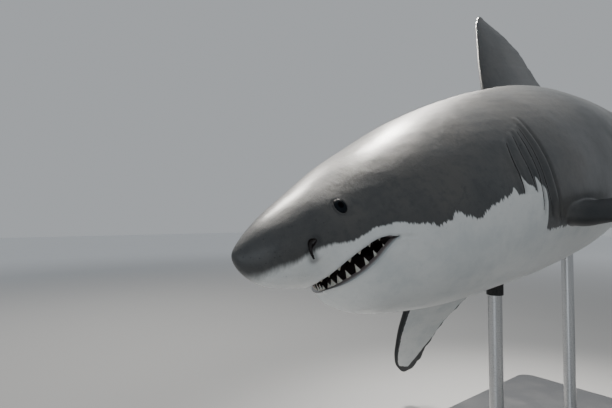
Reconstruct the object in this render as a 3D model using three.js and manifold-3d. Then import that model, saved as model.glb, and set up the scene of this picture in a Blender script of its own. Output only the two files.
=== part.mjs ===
// Great white shark, life size, held over a flat base by two rods.
//
// The animal is described in a straight frame of its own, in percent of its total length: x runs
// back from the snout, y to the shark's right and z up. `pose` turns the head a little,
// bends the tail and gives millimetres. A group then tips the whole body nose down and on its side.
import * as THREE from 'three';
import { mergeVertices } from 'three/addons/utils/BufferGeometryUtils.js';
import Module from 'manifold-3d';

const wasm = await Module();
wasm.setup();

// Driving dimensions, in millimetres and degrees.
const TOTAL_LENGTH = 4400;
const PERCENT = TOTAL_LENGTH / 100;
const GAP = 0.3;
const NOSE_DOWN = 11.0;
const LEAN_RIGHT = 15.9;
const BALANCE_X = 38.2;
const BALANCE_HEIGHT = 1360;
const BASE_LENGTH = 2000;
const BASE_WIDTH = 1000;
const BASE_THICKNESS = 25;
const BASE_CORNER = 90;
const ROD_RADIUS = 30;
const FLANGE_RADIUS = 80;
const FLANGE_THICKNESS = 14;
const ROD_STATIONS = [31, 49];

// Head and tail pose: the head sinks and twists over its own length, and the tail swings left.
const HEAD_SINK = 0.45;
const HEAD_TWIST = 5.7;
const HEAD_REACH = 14;
const TAIL_SWING = 14;
const SWING_START = 30;
const SWING_END = 95;

// Body stations in percent: the way back, the back's height, the belly's and the half width.
const STATIONS = [
  [0.34, 0.56, 0.56, 0],
  [1, 1.4, -0.97, 0.9],
  [2.5, 2.38, -1.96, 2.21],
  [5, 3.56, -2.8, 3.36],
  [8, 4.85, -5.48, 4.68],
  [12, 6.19, -6.85, 6.2],
  [17, 7.64, -7.96, 7.51],
  [23, 8.93, -8.67, 8.53],
  [30, 10.02, -9.32, 9.13],
  [38, 10.7, -9.6, 9.18],
  [46, 9.75, -9.24, 8.5],
  [55, 7.75, -7.7, 7.0],
  [65, 5.4, -5.25, 4.9],
  [75, 3.2, -2.95, 2.65],
  [83, 1.9, -1.75, 1.45],
  [88, 1.75, -1.6, 0.95],
  [92.4, 0.35, -0.35, 0.25],
];
const SNOUT_TIP = STATIONS[0][0];
const BACK_ROUNDNESS = 1.8;
const BELLY_ROUNDNESS = 2.0;
const WIDEST_DROP = 0.04;
const KEEL_REACH = 1.25;
const KEEL_MIDDLE = 83.5;
const KEEL_SPAN = 6.5;
const KEEL_SHARPNESS = 14;
const BODY_SIDES = 36;
const BODY_RINGS = 36;
const RING_CLEARANCE = 0.7;

// Where the body is parted, in percent.
const HEAD_END = 19.3;
const GILLS_END = 26.4;
const CHEST_END = 48;
const TRUNK_END = 70;
const STALK_END = 92.4;

// Head details, in percent unless a unit is named.
const EYE_X = 6.5;
const EYE_ANGLE = 19;
const EYE_RADIUS_MM = 29;
const EYE_OVAL = [0.81, 1, 1.19];
const EYE_DEPTH_MM = 20.5;
const NOSTRIL_X = 4.08;
const NOSTRIL_ANGLE = -19;
const NOSTRIL_SIZE_MM = [7, 11, 21];
const JAW_HINGE = [9.15, -1.86];
const UPPER_LIP = [
  [4, -2.95], [4.6, -2.74], [5.3, -2.5], [6.1, -2.08], [7, -1.76], [7.9, -1.56], [8.5, -1.6],
];
const LOWER_LIP = [
  [8.5, -2.14], [7.7, -2.68], [6.8, -3.16], [6.1, -3.34], [5.5, -3.22], [5.1, -3.12], [4, -3.1],
];
const MOUTH_MIDDLE = [[8.5, -1.87], [7.9, -1.9], [7, -2.3], [6.1, -2.7], [5, -2.95], [3, -3.02]];
const THROAT = [12.6, -9];
const HEAD_HALF_WIDTH = 9;
const TOOTH_COUNT = 8;
const TOOTH_MM = { width: 42, thickness: 10, root: 13 };
const TOOTHLESS_CORNER = 1.0;
const TOOTH_SHRINK = 0.5;
const TOOTH_RAKE = 0.35;
const LEAST_TOOTH = 0.45;
const FRONT_TOOTH = 0.55;

const GILL_STATIONS = [20.3, 21.55, 22.4, 23.0, 24.0];
const GILL_TOP = [2.6, 3.1, 3.4, 3.7, 4.4];
const GILL_FOOT = [-1.9, -2.1, -3.8, -4.4, -4.9];
const GILL_WIDTH_MM = 9;
const GILL_DEPTH_MM = 24;
const GILL_STEPS = 4;
const GILL_END = 0.06;
const GILL_PROUD = 0.3;
const GILL_TOP_SWEEP = 3.2;
const GILL_FOOT_SWEEP = [0, 0.6, 0, 4, 5];
const GILL_STRAIGHT = 0.45;
const GILL_RAKE = 0.25;

const SIDES = { left: -1, right: 1 };

const rad = THREE.MathUtils.degToRad;
const mix = THREE.MathUtils.lerp;
const clamp01 = (t) => THREE.MathUtils.clamp(t, 0, 1);

// ---------------------------------------------------------------------------------------------
// Curves through a few named values

// A monotone cubic through the knots: it never swings past a value, as a body outline doesn't.
function curveThrough(xs, ys) {
  const last = xs.length - 1;
  const step = xs.slice(1).map((x, i) => x - xs[i]);
  const slope = step.map((h, i) => (ys[i + 1] - ys[i]) / h);
  const tangent = xs.map((_, i) => {
    if (i === 0 || i === last) return slope[Math.min(i, last - 1)];
    if (slope[i - 1] * slope[i] <= 0) return 0;
    const before = 2 * step[i] + step[i - 1];
    const after = step[i] + 2 * step[i - 1];
    return (before + after) / (before / slope[i - 1] + after / slope[i]);
  });
  return (x) => {
    let i = 0;
    while (i < last - 1 && x > xs[i + 1]) i += 1;
    const h = step[i];
    const t = clamp01((x - xs[i]) / h);
    const rise = t * t * (3 - 2 * t);
    const lead = h * t * (1 - t) * (1 - t);
    const trail = h * t * t * (t - 1);
    return mix(ys[i], ys[i + 1], rise) + lead * tangent[i] + trail * tangent[i + 1];
  };
}

// The body outlines run in the square root of the way from the tip, which rounds the snout.
function outline(column) {
  const ways = STATIONS.map((s) => Math.sqrt(s[0] - SNOUT_TIP));
  const curve = curveThrough(ways, STATIONS.map((s) => s[column]));
  return (x) => curve(Math.sqrt(Math.max(x - SNOUT_TIP, 0)));
}

const backAt = outline(1);
const bellyAt = outline(2);
const halfWidthAt = outline(3);

// ---------------------------------------------------------------------------------------------
// The body surface and the pose

function middleAt(x) {
  const half = (backAt(x) - bellyAt(x)) / 2;
  return (backAt(x) + bellyAt(x)) / 2 - WIDEST_DROP * half;
}

// A point of the body surface: angle 0 is the right flank, a quarter turn the back.
function bodyPoint(x, angle, outward = 0) {
  const across = Math.cos(angle);
  const up = Math.sin(angle);
  const power = 2 / (up >= 0 ? BACK_ROUNDNESS : BELLY_ROUNDNESS);
  const middle = middleAt(x);
  const height = (up >= 0 ? backAt(x) - middle : middle - bellyAt(x)) + outward;
  const keel = KEEL_REACH * Math.exp(-(((x - KEEL_MIDDLE) / KEEL_SPAN) ** 2));
  const width = (halfWidthAt(x) + outward) * Math.abs(across) ** power;
  const y = Math.sign(across) * (width + keel * Math.abs(across) ** KEEL_SHARPNESS);
  return new THREE.Vector3(x, y, middle + Math.sign(up) * height * Math.abs(up) ** power);
}

// Half width of the body at height z, from the same ring formula.
function widthAtHeight(x, z) {
  const middle = middleAt(x);
  const height = z >= middle ? backAt(x) - middle : middle - bellyAt(x);
  const roundness = z >= middle ? BACK_ROUNDNESS : BELLY_ROUNDNESS;
  const share = Math.min(Math.abs(z - middle) / height, 1);
  return halfWidthAt(x) * (1 - share ** roundness) ** (1 / roundness);
}

function pose(point) {
  const nearHead = Math.exp(-((Math.max(point.x, 0) / HEAD_REACH) ** 2));
  const twist = -rad(HEAD_TWIST) * nearHead;
  const z = point.z - HEAD_SINK * nearHead;
  const y = point.y * Math.cos(twist) - z * Math.sin(twist);
  const raised = point.y * Math.sin(twist) + z * Math.cos(twist);
  // The heading grows with the square of the way along, so the axis is its integral.
  const span = SWING_END - SWING_START;
  const along = clamp01((point.x - SWING_START) / span);
  const heading = -rad(TAIL_SWING) * along * along;
  const beyond = Math.max(point.x - SWING_END, 0);
  const drift = (heading * along * span) / 3 + beyond * Math.sin(heading);
  const shortened = (heading * heading * along * span) / 10 + beyond * (1 - Math.cos(heading));
  const x = point.x - shortened - y * Math.sin(heading);
  return new THREE.Vector3(x, drift + y * Math.cos(heading), raised).multiplyScalar(PERCENT);
}

// ---------------------------------------------------------------------------------------------
// Solids

const halfGap = GAP / 2 / PERCENT;
const clearance = GAP / PERCENT;

// Merged vertices with the flat triangles left out and the faces pointing out.
function solid(geometry) {
  const bare = geometry.clone();
  ['normal', 'uv'].forEach((name) => bare.deleteAttribute(name));
  const merged = mergeVertices(bare, 1e-4);
  const at = merged.attributes.position;
  const corners = [new THREE.Vector3(), new THREE.Vector3(), new THREE.Vector3()];
  const triangles = [];
  let volume = 0;
  for (let i = 0; i < merged.index.count; i += 3) {
    const ids = [0, 1, 2].map((k) => merged.index.getX(i + k));
    if (new Set(ids).size < 3) continue;
    ids.forEach((id, k) => corners[k].fromBufferAttribute(at, id));
    volume += corners[0].dot(corners[1].clone().cross(corners[2]));
    triangles.push(...ids);
  }
  if (volume < 0) triangles.reverse();
  const triVerts = new Uint32Array(triangles);
  return new wasm.Manifold(new wasm.Mesh({ numProp: 3, vertProperties: at.array, triVerts }));
}

function geometryOf(manifold) {
  const mesh = manifold.getMesh();
  const geometry = new THREE.BufferGeometry();
  geometry.setAttribute('position', new THREE.BufferAttribute(mesh.vertProperties, 3));
  geometry.setIndex(new THREE.BufferAttribute(mesh.triVerts, 1));
  geometry.computeVertexNormals();
  return geometry;
}

// Every vertex of a geometry moved to where `place` sends it.
function moved(geometry, place) {
  const at = geometry.attributes.position;
  const point = new THREE.Vector3();
  for (let i = 0; i < at.count; i += 1) {
    const target = place(point.fromBufferAttribute(at, i));
    at.setXYZ(i, target.x, target.y, target.z);
  }
  return geometry;
}

// A closed cylinder whose wall and end caps are placed by angle, way along and radius.
function sleeve(sides, steps, place) {
  const tube = new THREE.CylinderGeometry(1, 1, 1, sides, steps);
  return moved(tube, (p) => pose(place(Math.atan2(p.z, p.x), p.y + 0.5, Math.hypot(p.x, p.z))));
}

// Ring places over the whole body, closest together at the snout, with one at each parting.
const PARTINGS = [HEAD_END, GILLS_END, CHEST_END, TRUNK_END];
const ringPlace = (i) => SNOUT_TIP + (STALK_END - SNOUT_TIP) * ((i + 1) / BODY_RINGS) ** 1.5;
const clearOfPartings = (x) => PARTINGS.every((cut) => Math.abs(x - cut) > RING_CLEARANCE);
const EVEN_RINGS = Array.from({ length: BODY_RINGS - 1 }, (_, i) => ringPlace(i));
const RINGS = [...EVEN_RINGS.filter(clearOfPartings), ...PARTINGS].sort((a, b) => a - b);

// A length of the body between two stations, closed by flat ends.
function bodyLength(from, to, outward = 0) {
  const inside = RINGS.filter((x) => x > from + 2 * halfGap && x < to - 2 * halfGap);
  const rings = [from, ...inside, to];
  return solid(sleeve(BODY_SIDES, rings.length - 1, (angle, t, radius) => {
    const x = rings[Math.round(t * (rings.length - 1))];
    return radius > 0.5 ? bodyPoint(x, angle, outward) : new THREE.Vector3(x, 0, middleAt(x));
  }));
}

// A flat outline in the side view, carried across the whole width of the head.
function sideCutter(points, halfWidth) {
  const shape = new THREE.Shape(points.map(([x, z]) => new THREE.Vector2(x, z)));
  const slab = new THREE.ExtrudeGeometry(shape, { depth: 2 * halfWidth, bevelEnabled: false });
  return solid(moved(slab, (p) => pose(new THREE.Vector3(p.x, p.z - halfWidth, p.y))));
}

// A rounded lump of the given half sizes along x, y and z in millimetres, centred on a posed point.
function lump(centre, halfSizes, sides = 12) {
  const ball = new THREE.SphereGeometry(1, sides, Math.round(sides * 0.7));
  ball.scale(...halfSizes);
  return solid(ball.translate(centre.x, centre.y, centre.z));
}

const wholeBody = bodyLength(SNOUT_TIP, STALK_END, clearance);

// ---------------------------------------------------------------------------------------------
// Head: skull and upper jaw with the snout, lower jaw, teeth, eyes

// A spot on the head's surface and the way out of it, both posed.
function headSpot(x, degrees, side) {
  const angle = side > 0 ? rad(degrees) : Math.PI - rad(degrees);
  const spot = pose(bodyPoint(x, angle));
  const ahead = pose(bodyPoint(x + 0.2, angle)).sub(spot);
  const around = pose(bodyPoint(x, angle + 0.03)).sub(spot);
  const outward = ahead.cross(around).normalize();
  if (outward.y * side < 0) outward.negate();
  return { spot, outward };
}

function eyeCentre(side) {
  const { spot, outward } = headSpot(EYE_X, EYE_ANGLE, side);
  return spot.addScaledVector(outward, -EYE_DEPTH_MM);
}

function eyeball(side, clear = 0) {
  return lump(eyeCentre(side), EYE_OVAL.map((share) => share * EYE_RADIUS_MM + clear));
}

function nostril(side) {
  const { spot } = headSpot(NOSTRIL_X, NOSTRIL_ANGLE, side);
  return lump(spot, NOSTRIL_SIZE_MM, 10);
}

// The height of one lip along the head, as the mouth shows it from the side.
function lipHeight(profile) {
  const points = [...profile, JAW_HINGE].sort((a, b) => a[0] - b[0]);
  return curveThrough(points.map((p) => p[0]), points.map((p) => p[1]));
}

const upperLipAt = lipHeight(UPPER_LIP);
const lowerLipAt = lipHeight(LOWER_LIP);

// A lip's line laid on the head's surface, from the middle in front (0) to the corner (1).
function lipLine(heightAt) {
  let front = UPPER_LIP[0][0];
  while (bellyAt(front) > heightAt(front)) front += 0.02;
  return (t) => {
    const x = mix(front, JAW_HINGE[0], 1 - Math.cos((t * Math.PI) / 2));
    const z = heightAt(x);
    return new THREE.Vector3(x, widthAtHeight(x, z), z);
  };
}

// One row of teeth over both sides of a jaw. `up` is 1 on the lower jaw and -1 on the upper, and
// `shown` is how much of the gape a tooth fills. The tips rake forward towards the corners.
function teeth(row) {
  const lip = lipLine(row.heightAt);
  const cones = [];
  for (let i = 0; i < TOOTH_COUNT; i += 1) {
    const t = (i + 0.5) / (TOOTH_COUNT + TOOTHLESS_CORNER);
    const here = lip(t);
    const along = lip(t + 0.01).sub(lip(t - 0.01)).setZ(0).normalize();
    const inward = new THREE.Vector3(along.y, -along.x, 0);
    const gape = (upperLipAt(here.x) - lowerLipAt(here.x)) * PERCENT;
    const crown = row.shown * gape * Math.min(1, FRONT_TOOTH + 2.2 * t);
    const shrunk = 1 - TOOTH_SHRINK * (i / TOOTH_COUNT) ** 1.3;
    const size = shrunk * Math.min(1, LEAST_TOOTH + crown / TOOTH_MM.width);
    Object.values(SIDES).forEach((side) => {
      const cone = new THREE.ConeGeometry(0.5, 1, 4);
      cones.push(solid(moved(cone, (p) => {
        const reach = (p.x * TOOTH_MM.width * size) / PERCENT;
        const depth = (p.z * TOOTH_MM.thickness * size + row.inset) / PERCENT;
        const rise = ((p.y + 0.5) * (crown + TOOTH_MM.root) - TOOTH_MM.root) / PERCENT;
        const at = here.clone().addScaledVector(along, reach).addScaledVector(inward, depth);
        return pose(new THREE.Vector3(at.x - TOOTH_RAKE * t * rise, at.y * side, at.z + row.up * rise));
      })));
    });
  }
  return wasm.Manifold.union(cones);
}

const mouth = sideCutter([...UPPER_LIP, JAW_HINGE, ...LOWER_LIP], HEAD_HALF_WIDTH);

// All that lies under the mouth and ahead of the throat; `grow` moves its rear wall back.
function jawRegion(grow) {
  const [throatX, throatZ] = THROAT;
  const [hingeX, hingeZ] = JAW_HINGE;
  const outer = [...MOUTH_MIDDLE, [MOUTH_MIDDLE[MOUTH_MIDDLE.length - 1][0], throatZ]];
  return sideCutter([[hingeX + grow, hingeZ], ...outer, [throatX + grow, throatZ]], HEAD_HALF_WIDTH);
}

const headWhole = bodyLength(SNOUT_TIP, HEAD_END - halfGap);
const upperTeeth = teeth({ heightAt: upperLipAt, up: -1, inset: 18, shown: 0.12 });
const lowerTeeth = teeth({ heightAt: lowerLipAt, up: 1, inset: 21, shown: 0.6 });
const sockets = Object.values(SIDES).flatMap((side) => [eyeball(side, GAP), nostril(side)]);
const headSolid = headWhole.subtract(jawRegion(clearance)).subtract(mouth)
  .subtract(wasm.Manifold.union(sockets)).add(upperTeeth);
const jawSolid = headWhole.intersect(jawRegion(0)).subtract(mouth).add(lowerTeeth);

// ---------------------------------------------------------------------------------------------
// Gills: five slits on each side, cut into the surface. Each tapers to its ends, sweeps back
// towards them and runs forward as it goes in.

function gillSlit(index, side) {
  const x = GILL_STATIONS[index];
  const middle = middleAt(x);
  const angleAt = (z) => Math.asin((z - middle) / (backAt(x) - middle));
  const low = angleAt(GILL_FOOT[index]);
  const high = angleAt(GILL_TOP[index]);
  const slab = new THREE.BoxGeometry(1, 1, 1, 1, 1, GILL_STEPS);
  return solid(moved(slab, (p) => {
    const way = p.z + 0.5;
    const angle = mix(low, high, way);
    const taper = Math.sin(Math.PI * mix(GILL_END, 1 - GILL_END, way)) ** 0.5;
    const inner = p.y < 0;
    const height = inner ? -GILL_DEPTH_MM * taper / PERCENT : GILL_PROUD;
    const above = Math.max(way - GILL_STRAIGHT, 0);
    const below = Math.max(GILL_STRAIGHT - way, 0);
    const sweep = GILL_TOP_SWEEP * above ** 2 + GILL_FOOT_SWEEP[index] * below ** 2;
    const back = x + sweep - (inner ? GILL_RAKE : 0) + p.x * GILL_WIDTH_MM * taper / PERCENT;
    return pose(bodyPoint(back, side > 0 ? angle : Math.PI - angle, height));
  }));
}

const slits = GILL_STATIONS.flatMap((_, i) => Object.values(SIDES).map((side) => gillSlit(i, side)));
const gillLength = bodyLength(HEAD_END + halfGap, GILLS_END - halfGap);
const gillSolid = gillLength.subtract(wasm.Manifold.union(slits));

// ---------------------------------------------------------------------------------------------
// Fins: blades whose sections run from the leading to the trailing edge

// Each outline row is the span, the leading edge and the trailing edge there, in percent.
const FIRST_DORSAL = [
  [7.5, 34.9, 49.0], [9.6, 35.6, 49.5], [10.2, 36.1, 50.8], [10.8, 36.5, 52.0], [12.6, 37.4, 51.2],
  [15.2, 38.8, 50.5], [17.2, 40.1, 49.6], [19.0, 41.3, 48.05], [20.6, 42.5, 46.0], [21.9, 44.1, 44.7],
];
const PECTORAL = [
  [-3.4, -1.0, 8.2], [0, 0.1, 9.0], [1, 0.6, 11.3], [2.2, 1.15, 12.5], [3.6, 1.85, 12.1],
  [5.2, 2.65, 11.8], [8.6, 4.4, 11.85], [11.4, 5.85, 12.45], [14, 7.45, 13.1], [16.4, 9.1, 13.95],
  [18.2, 10.8, 14.25], [19.5, 12.9, 13.5],
];
const PELVIC = [
  [-1.6, 0, 4.4], [0, 0.5, 4.9], [0.8, 0.9, 6.4], [1.6, 1.4, 6.3], [3, 2.4, 5.5], [4.1, 3.7, 4.8],
  [4.4, 4.2, 4.5],
];
const SMALL_FIN = [[-1.2, 0, 1.5], [0, 0.2, 1.7], [0.35, 0.5, 3.1], [0.9, 1.0, 2.6], [1.5, 1.65, 2.05]];
const UPPER_LOBE = [
  [0.02, 84.2, 92.5], [2, 85.3, 93.0], [5, 87.7, 94.4], [9, 91.1, 96.6], [13, 94.8, 98.6],
  [15.6, 97.3, 99.6], [16.8, 98.6, 99.6], [17.8, 99.8, 100],
];
const LOWER_LOBE = [
  [0.02, 84.7, 92.5], [2, 85.8, 92.7], [5, 87.9, 93.5], [8, 90.3, 94.5], [11, 92.9, 95.6],
  [13.3, 95.1, 96.5], [14, 96.0, 96.5],
];
// The first dorsal's tip leans this far to the right.
const DORSAL_FLEX = 0.5;
const DORSAL_HEIGHT = 12;

// A foil's half thickness is sqrt(c)(1 - c) over its chord c, scaled so that its peak is 1.
const FOIL_PEAK = 2.6;

// `build` gives the sections' thickness as a share of their length at the root and the tip, and the
// flare where the blade meets the body. `place` sends chord, span and thickness to the straight frame.
function blade(rows, build, place) {
  const span = rows.map((row) => row[0]);
  const leading = curveThrough(span, rows.map((row) => row[1]));
  const trailing = curveThrough(span, rows.map((row) => row[2]));
  const [first, last] = [span[0], span[span.length - 1]];
  return solid(sleeve(build.sides, build.steps, (angle, t, radius) => {
    const v = mix(first, last, Math.sin((t * Math.PI) / 2));
    const [from, to] = [leading(v), trailing(v)];
    if (radius < 0.5) return place((from + to) / 2, v, 0);
    const turn = angle + Math.PI / build.sides;
    const share = (1 - Math.cos(turn)) / 2;
    const section = Math.abs(Math.sin(turn / 2)) * Math.cos(turn / 2) ** 2 * FOIL_PEAK;
    const flare = build.flare * Math.exp(-(((v - build.base) / build.fillet) ** 2));
    const ratio = mix(build.rootRatio, build.tipRatio, clamp01((v - build.base) / (last - build.base)));
    const half = ((to - from) * ratio + flare) / 2 * section + build.edge;
    return place(mix(from, to, share), v, half * Math.sign(Math.sin(turn)));
  }));
}

const EDGE = 1.6 / PERCENT;

function fin(rows, overrides, place) {
  const common = { sides: 16, steps: 12, base: 0, rootRatio: 0.13, tipRatio: 0.07 };
  const root = { flare: 0.5, fillet: 0.9, edge: EDGE };
  return blade(rows, { ...common, ...root, ...overrides }, place).subtract(wholeBody);
}

// Paired fins grow from the belly's flank; the blade's chord is tipped, more at the tip than the root.
function pairedFin(rows, build, seat, side) {
  const angle = side > 0 ? -rad(seat.below) : Math.PI + rad(seat.below);
  const origin = bodyPoint(seat.x, angle);
  const droop = rad(seat.droop);
  return fin(rows, build, (u, v, w) => {
    const blend = THREE.MathUtils.smoothstep(v, 0, 3);
    const tip = rad(mix(seat.rootTip, seat.tip, blend));
    const chord = new THREE.Vector3(Math.cos(tip), 0, -Math.sin(tip));
    const out = new THREE.Vector3(0, side * Math.cos(droop), -Math.sin(droop));
    out.addScaledVector(chord, -out.dot(chord)).normalize();
    const face = chord.clone().cross(out);
    return origin.clone().addScaledVector(chord, u).addScaledVector(out, v).addScaledVector(face, w);
  });
}

// A seat is where a paired fin's root starts: its station and degrees below the flank, then the
// fin's droop and the tips of its chord at root and end, in degrees.
const PECTORAL_SEATS = {
  left: { x: 25.6, below: 29, droop: 25, rootTip: 8, tip: -1 },
  right: { x: 25.6, below: 29, droop: 38, rootTip: 14, tip: 27 },
};
const SECOND_DORSAL_X = 70.6;
const ANAL_X = 73.2;
const PELVIC_SEAT = { x: 54.5, below: 52, droop: 38, rootTip: 4, tip: 8 };
const pectoralBuild = { steps: 13, flare: 0.7, fillet: 1.6, rootRatio: 0.16 };
const pelvicBuild = { sides: 12, steps: 7 };

const dorsalBuild = { base: 10, flare: 0.7, rootRatio: 0.115, tipRatio: 0.075 };
const dorsal = fin(FIRST_DORSAL, dorsalBuild, (u, v, w) => {
  const rise = Math.max(v - dorsalBuild.base, 0) / DORSAL_HEIGHT;
  return new THREE.Vector3(u, w + DORSAL_FLEX * rise * rise, v);
});
const smallBuild = { sides: 10, steps: 6, flare: 0.25, fillet: 0.4, rootRatio: 0.16, tipRatio: 0.12 };
const secondDorsal = fin(SMALL_FIN, smallBuild, (u, v, w) => {
  return new THREE.Vector3(SECOND_DORSAL_X + u, w, backAt(SECOND_DORSAL_X + 1) + v);
});
const anal = fin(SMALL_FIN, smallBuild, (u, v, w) => {
  return new THREE.Vector3(ANAL_X + u, w, bellyAt(ANAL_X + 1) - v);
});
const lobeBuild = { sides: 14, steps: 10, flare: 0.9, fillet: 3, tipRatio: 0.1 };
const upperLobe = fin(UPPER_LOBE, lobeBuild, (u, v, w) => new THREE.Vector3(u, w, v));
const lowerLobe = fin(LOWER_LOBE, lobeBuild, (u, v, w) => new THREE.Vector3(u, w, -v));

// ---------------------------------------------------------------------------------------------
// Scene graph

const group = new THREE.Group();
const shark = new THREE.Group();
group.add(shark);
shark.rotation.set(-rad(LEAN_RIGHT), -rad(NOSE_DOWN), 0, 'YXZ');
const balance = pose(new THREE.Vector3(BALANCE_X, 0, 0));
shark.position.copy(balance.applyEuler(shark.rotation).negate()).z += BALANCE_HEIGHT;
shark.updateMatrixWorld(true);

const slate = { color: 0x4d565b, roughness: 0.5, metalness: 0 };
const finSlate = { color: 0x434b51, roughness: 0.5, metalness: 0 };
const belly = { color: 0xd9dbd6, roughness: 0.5, metalness: 0 };
const eyeBlack = { color: 0x0b0d10, roughness: 0.08, metalness: 0 };
const basePaint = { color: 0x2b2d30, roughness: 0.45, metalness: 0.2 };
const rodSteel = { color: 0x8a8d90, roughness: 0.3, metalness: 1 };

function addPiece(parent, name, geometry, look) {
  const mesh = new THREE.Mesh(geometry, new THREE.MeshStandardMaterial(look));
  mesh.name = name;
  parent.add(mesh);
}

addPiece(shark, 'head', geometryOf(headSolid), slate);
addPiece(shark, 'lower_jaw', geometryOf(jawSolid), belly);
addPiece(shark, 'gills', geometryOf(gillSolid), slate);
const chest = bodyLength(GILLS_END + halfGap, CHEST_END - halfGap);
const hindTrunk = bodyLength(CHEST_END + halfGap, TRUNK_END - halfGap);
const stalk = bodyLength(TRUNK_END + halfGap, STALK_END);
addPiece(shark, 'trunk_front', geometryOf(chest), slate);
addPiece(shark, 'trunk_rear', geometryOf(hindTrunk), slate);
addPiece(shark, 'tail_stalk', geometryOf(stalk), slate);
addPiece(shark, 'dorsal_fin_first', geometryOf(dorsal), finSlate);
addPiece(shark, 'dorsal_fin_second', geometryOf(secondDorsal), finSlate);
addPiece(shark, 'anal_fin', geometryOf(anal), belly);
addPiece(shark, 'caudal_fin_upper', geometryOf(upperLobe), finSlate);
addPiece(shark, 'caudal_fin_lower', geometryOf(lowerLobe), finSlate);
Object.entries(SIDES).forEach(([name, side]) => {
  addPiece(shark, `eye_${name}`, geometryOf(eyeball(side)), eyeBlack);
  const pectoral = pairedFin(PECTORAL, pectoralBuild, PECTORAL_SEATS[name], side);
  addPiece(shark, `pectoral_fin_${name}`, geometryOf(pectoral), finSlate);
  const pelvic = pairedFin(PELVIC, pelvicBuild, PELVIC_SEAT, side);
  addPiece(shark, `pelvic_fin_${name}`, geometryOf(pelvic), belly);
});

// ---------------------------------------------------------------------------------------------
// Stand: a steel base plate and two flanged rods whose heads are cut to the belly

function basePlate() {
  const [x, y] = [BASE_LENGTH / 2 - BASE_CORNER, BASE_WIDTH / 2 - BASE_CORNER];
  const plate = new THREE.Shape();
  plate.absarc(x, y, BASE_CORNER, 0, Math.PI / 2);
  plate.absarc(-x, y, BASE_CORNER, Math.PI / 2, Math.PI);
  plate.absarc(-x, -y, BASE_CORNER, Math.PI, 1.5 * Math.PI);
  plate.absarc(x, -y, BASE_CORNER, 1.5 * Math.PI, 2 * Math.PI);
  const build = { depth: BASE_THICKNESS, bevelEnabled: false, curveSegments: 5 };
  return new THREE.ExtrudeGeometry(plate, build);
}

const bodyInWorld = solid(geometryOf(wholeBody).applyMatrix4(shark.matrixWorld));

function rod(station) {
  const top = pose(new THREE.Vector3(station, 0, middleAt(station))).applyMatrix4(shark.matrixWorld);
  const foot = BASE_THICKNESS + GAP;
  const profile = [[0, foot], [FLANGE_RADIUS, foot], [FLANGE_RADIUS, foot + FLANGE_THICKNESS],
    [ROD_RADIUS, foot + FLANGE_THICKNESS], [ROD_RADIUS, top.z], [0, top.z]];
  const lathe = new THREE.LatheGeometry(profile.map(([r, z]) => new THREE.Vector2(r, z)), 24);
  lathe.rotateX(Math.PI / 2);
  return solid(lathe.translate(top.x, top.y, 0)).subtract(bodyInWorld);
}

addPiece(group, 'stand_base', basePlate(), basePaint);
addPiece(group, 'stand_rod_front', geometryOf(rod(ROD_STATIONS[0])), rodSteel);
addPiece(group, 'stand_rod_rear', geometryOf(rod(ROD_STATIONS[1])), rodSteel);

export default group;
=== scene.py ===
# A life-size great white shark, banking nose down with its mouth a little open, on a display
# stand: a painted steel plate and two steel rods with padded heads. Metres throughout.
import math

import bpy
import numpy as np
from mathutils import Matrix, Vector
from mathutils.bvhtree import BVHTree
from mathutils.kdtree import KDTree


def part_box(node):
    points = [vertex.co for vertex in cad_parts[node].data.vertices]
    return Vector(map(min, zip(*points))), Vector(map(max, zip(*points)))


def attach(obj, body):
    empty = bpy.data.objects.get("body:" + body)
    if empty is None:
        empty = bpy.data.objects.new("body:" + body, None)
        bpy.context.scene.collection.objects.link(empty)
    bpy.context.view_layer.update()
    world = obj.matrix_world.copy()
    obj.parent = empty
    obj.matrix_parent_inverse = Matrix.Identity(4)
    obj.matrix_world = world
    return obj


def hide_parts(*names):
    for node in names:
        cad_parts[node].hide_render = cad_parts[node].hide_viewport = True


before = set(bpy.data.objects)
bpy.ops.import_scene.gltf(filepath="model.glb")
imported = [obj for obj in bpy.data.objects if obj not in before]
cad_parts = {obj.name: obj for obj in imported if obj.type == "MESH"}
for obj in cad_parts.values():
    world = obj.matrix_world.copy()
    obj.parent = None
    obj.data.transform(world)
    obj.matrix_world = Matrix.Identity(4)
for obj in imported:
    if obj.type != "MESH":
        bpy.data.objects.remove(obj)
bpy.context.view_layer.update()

# ---------------------------------------------------------------------------------------------
# Trunk of the skin. A great white's hide is one tough sheet of tiny tooth-like scales over
# muscle. It is made straight, in percent of the total length (x back from the snout tip, y to
# the shark's right, z up), cut and joined there, and bent into the swimming pose at the end.

TOTAL_LENGTH = 4.4
PERCENT = TOTAL_LENGTH / 100
MM = 0.001 / PERCENT
FINENESS = 1.0

# Stations: the way back, the back's height, the belly's and the half width.
STATIONS = [
    [0.34, 0.56, 0.56, 0], [1, 1.4, -0.97, 0.9], [2.5, 2.38, -1.96, 2.21], [5, 3.56, -2.8, 3.36],
    [8, 4.85, -5.48, 4.68], [12, 6.19, -6.85, 6.2], [17, 7.64, -7.96, 7.51],
    [23, 8.93, -8.67, 8.53], [30, 10.02, -9.32, 9.13], [38, 10.7, -9.6, 9.18],
    [46, 9.75, -9.24, 8.5], [55, 7.75, -7.7, 7.0], [65, 5.4, -5.25, 4.9],
    [75, 3.2, -2.95, 2.65], [83, 1.9, -1.75, 1.45], [88, 1.75, -1.6, 0.95],
    [92.4, 0.35, -0.35, 0.25],
]
SNOUT_TIP, BODY_END = STATIONS[0][0], STATIONS[-1][0]
BACK_ROUNDNESS, BELLY_ROUNDNESS = 1.8, 2.0
WIDEST_DROP = 0.04
KEEL_REACH, KEEL_MIDDLE, KEEL_SPAN, KEEL_SHARPNESS = 1.25, 83.5, 6.5, 14


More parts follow.
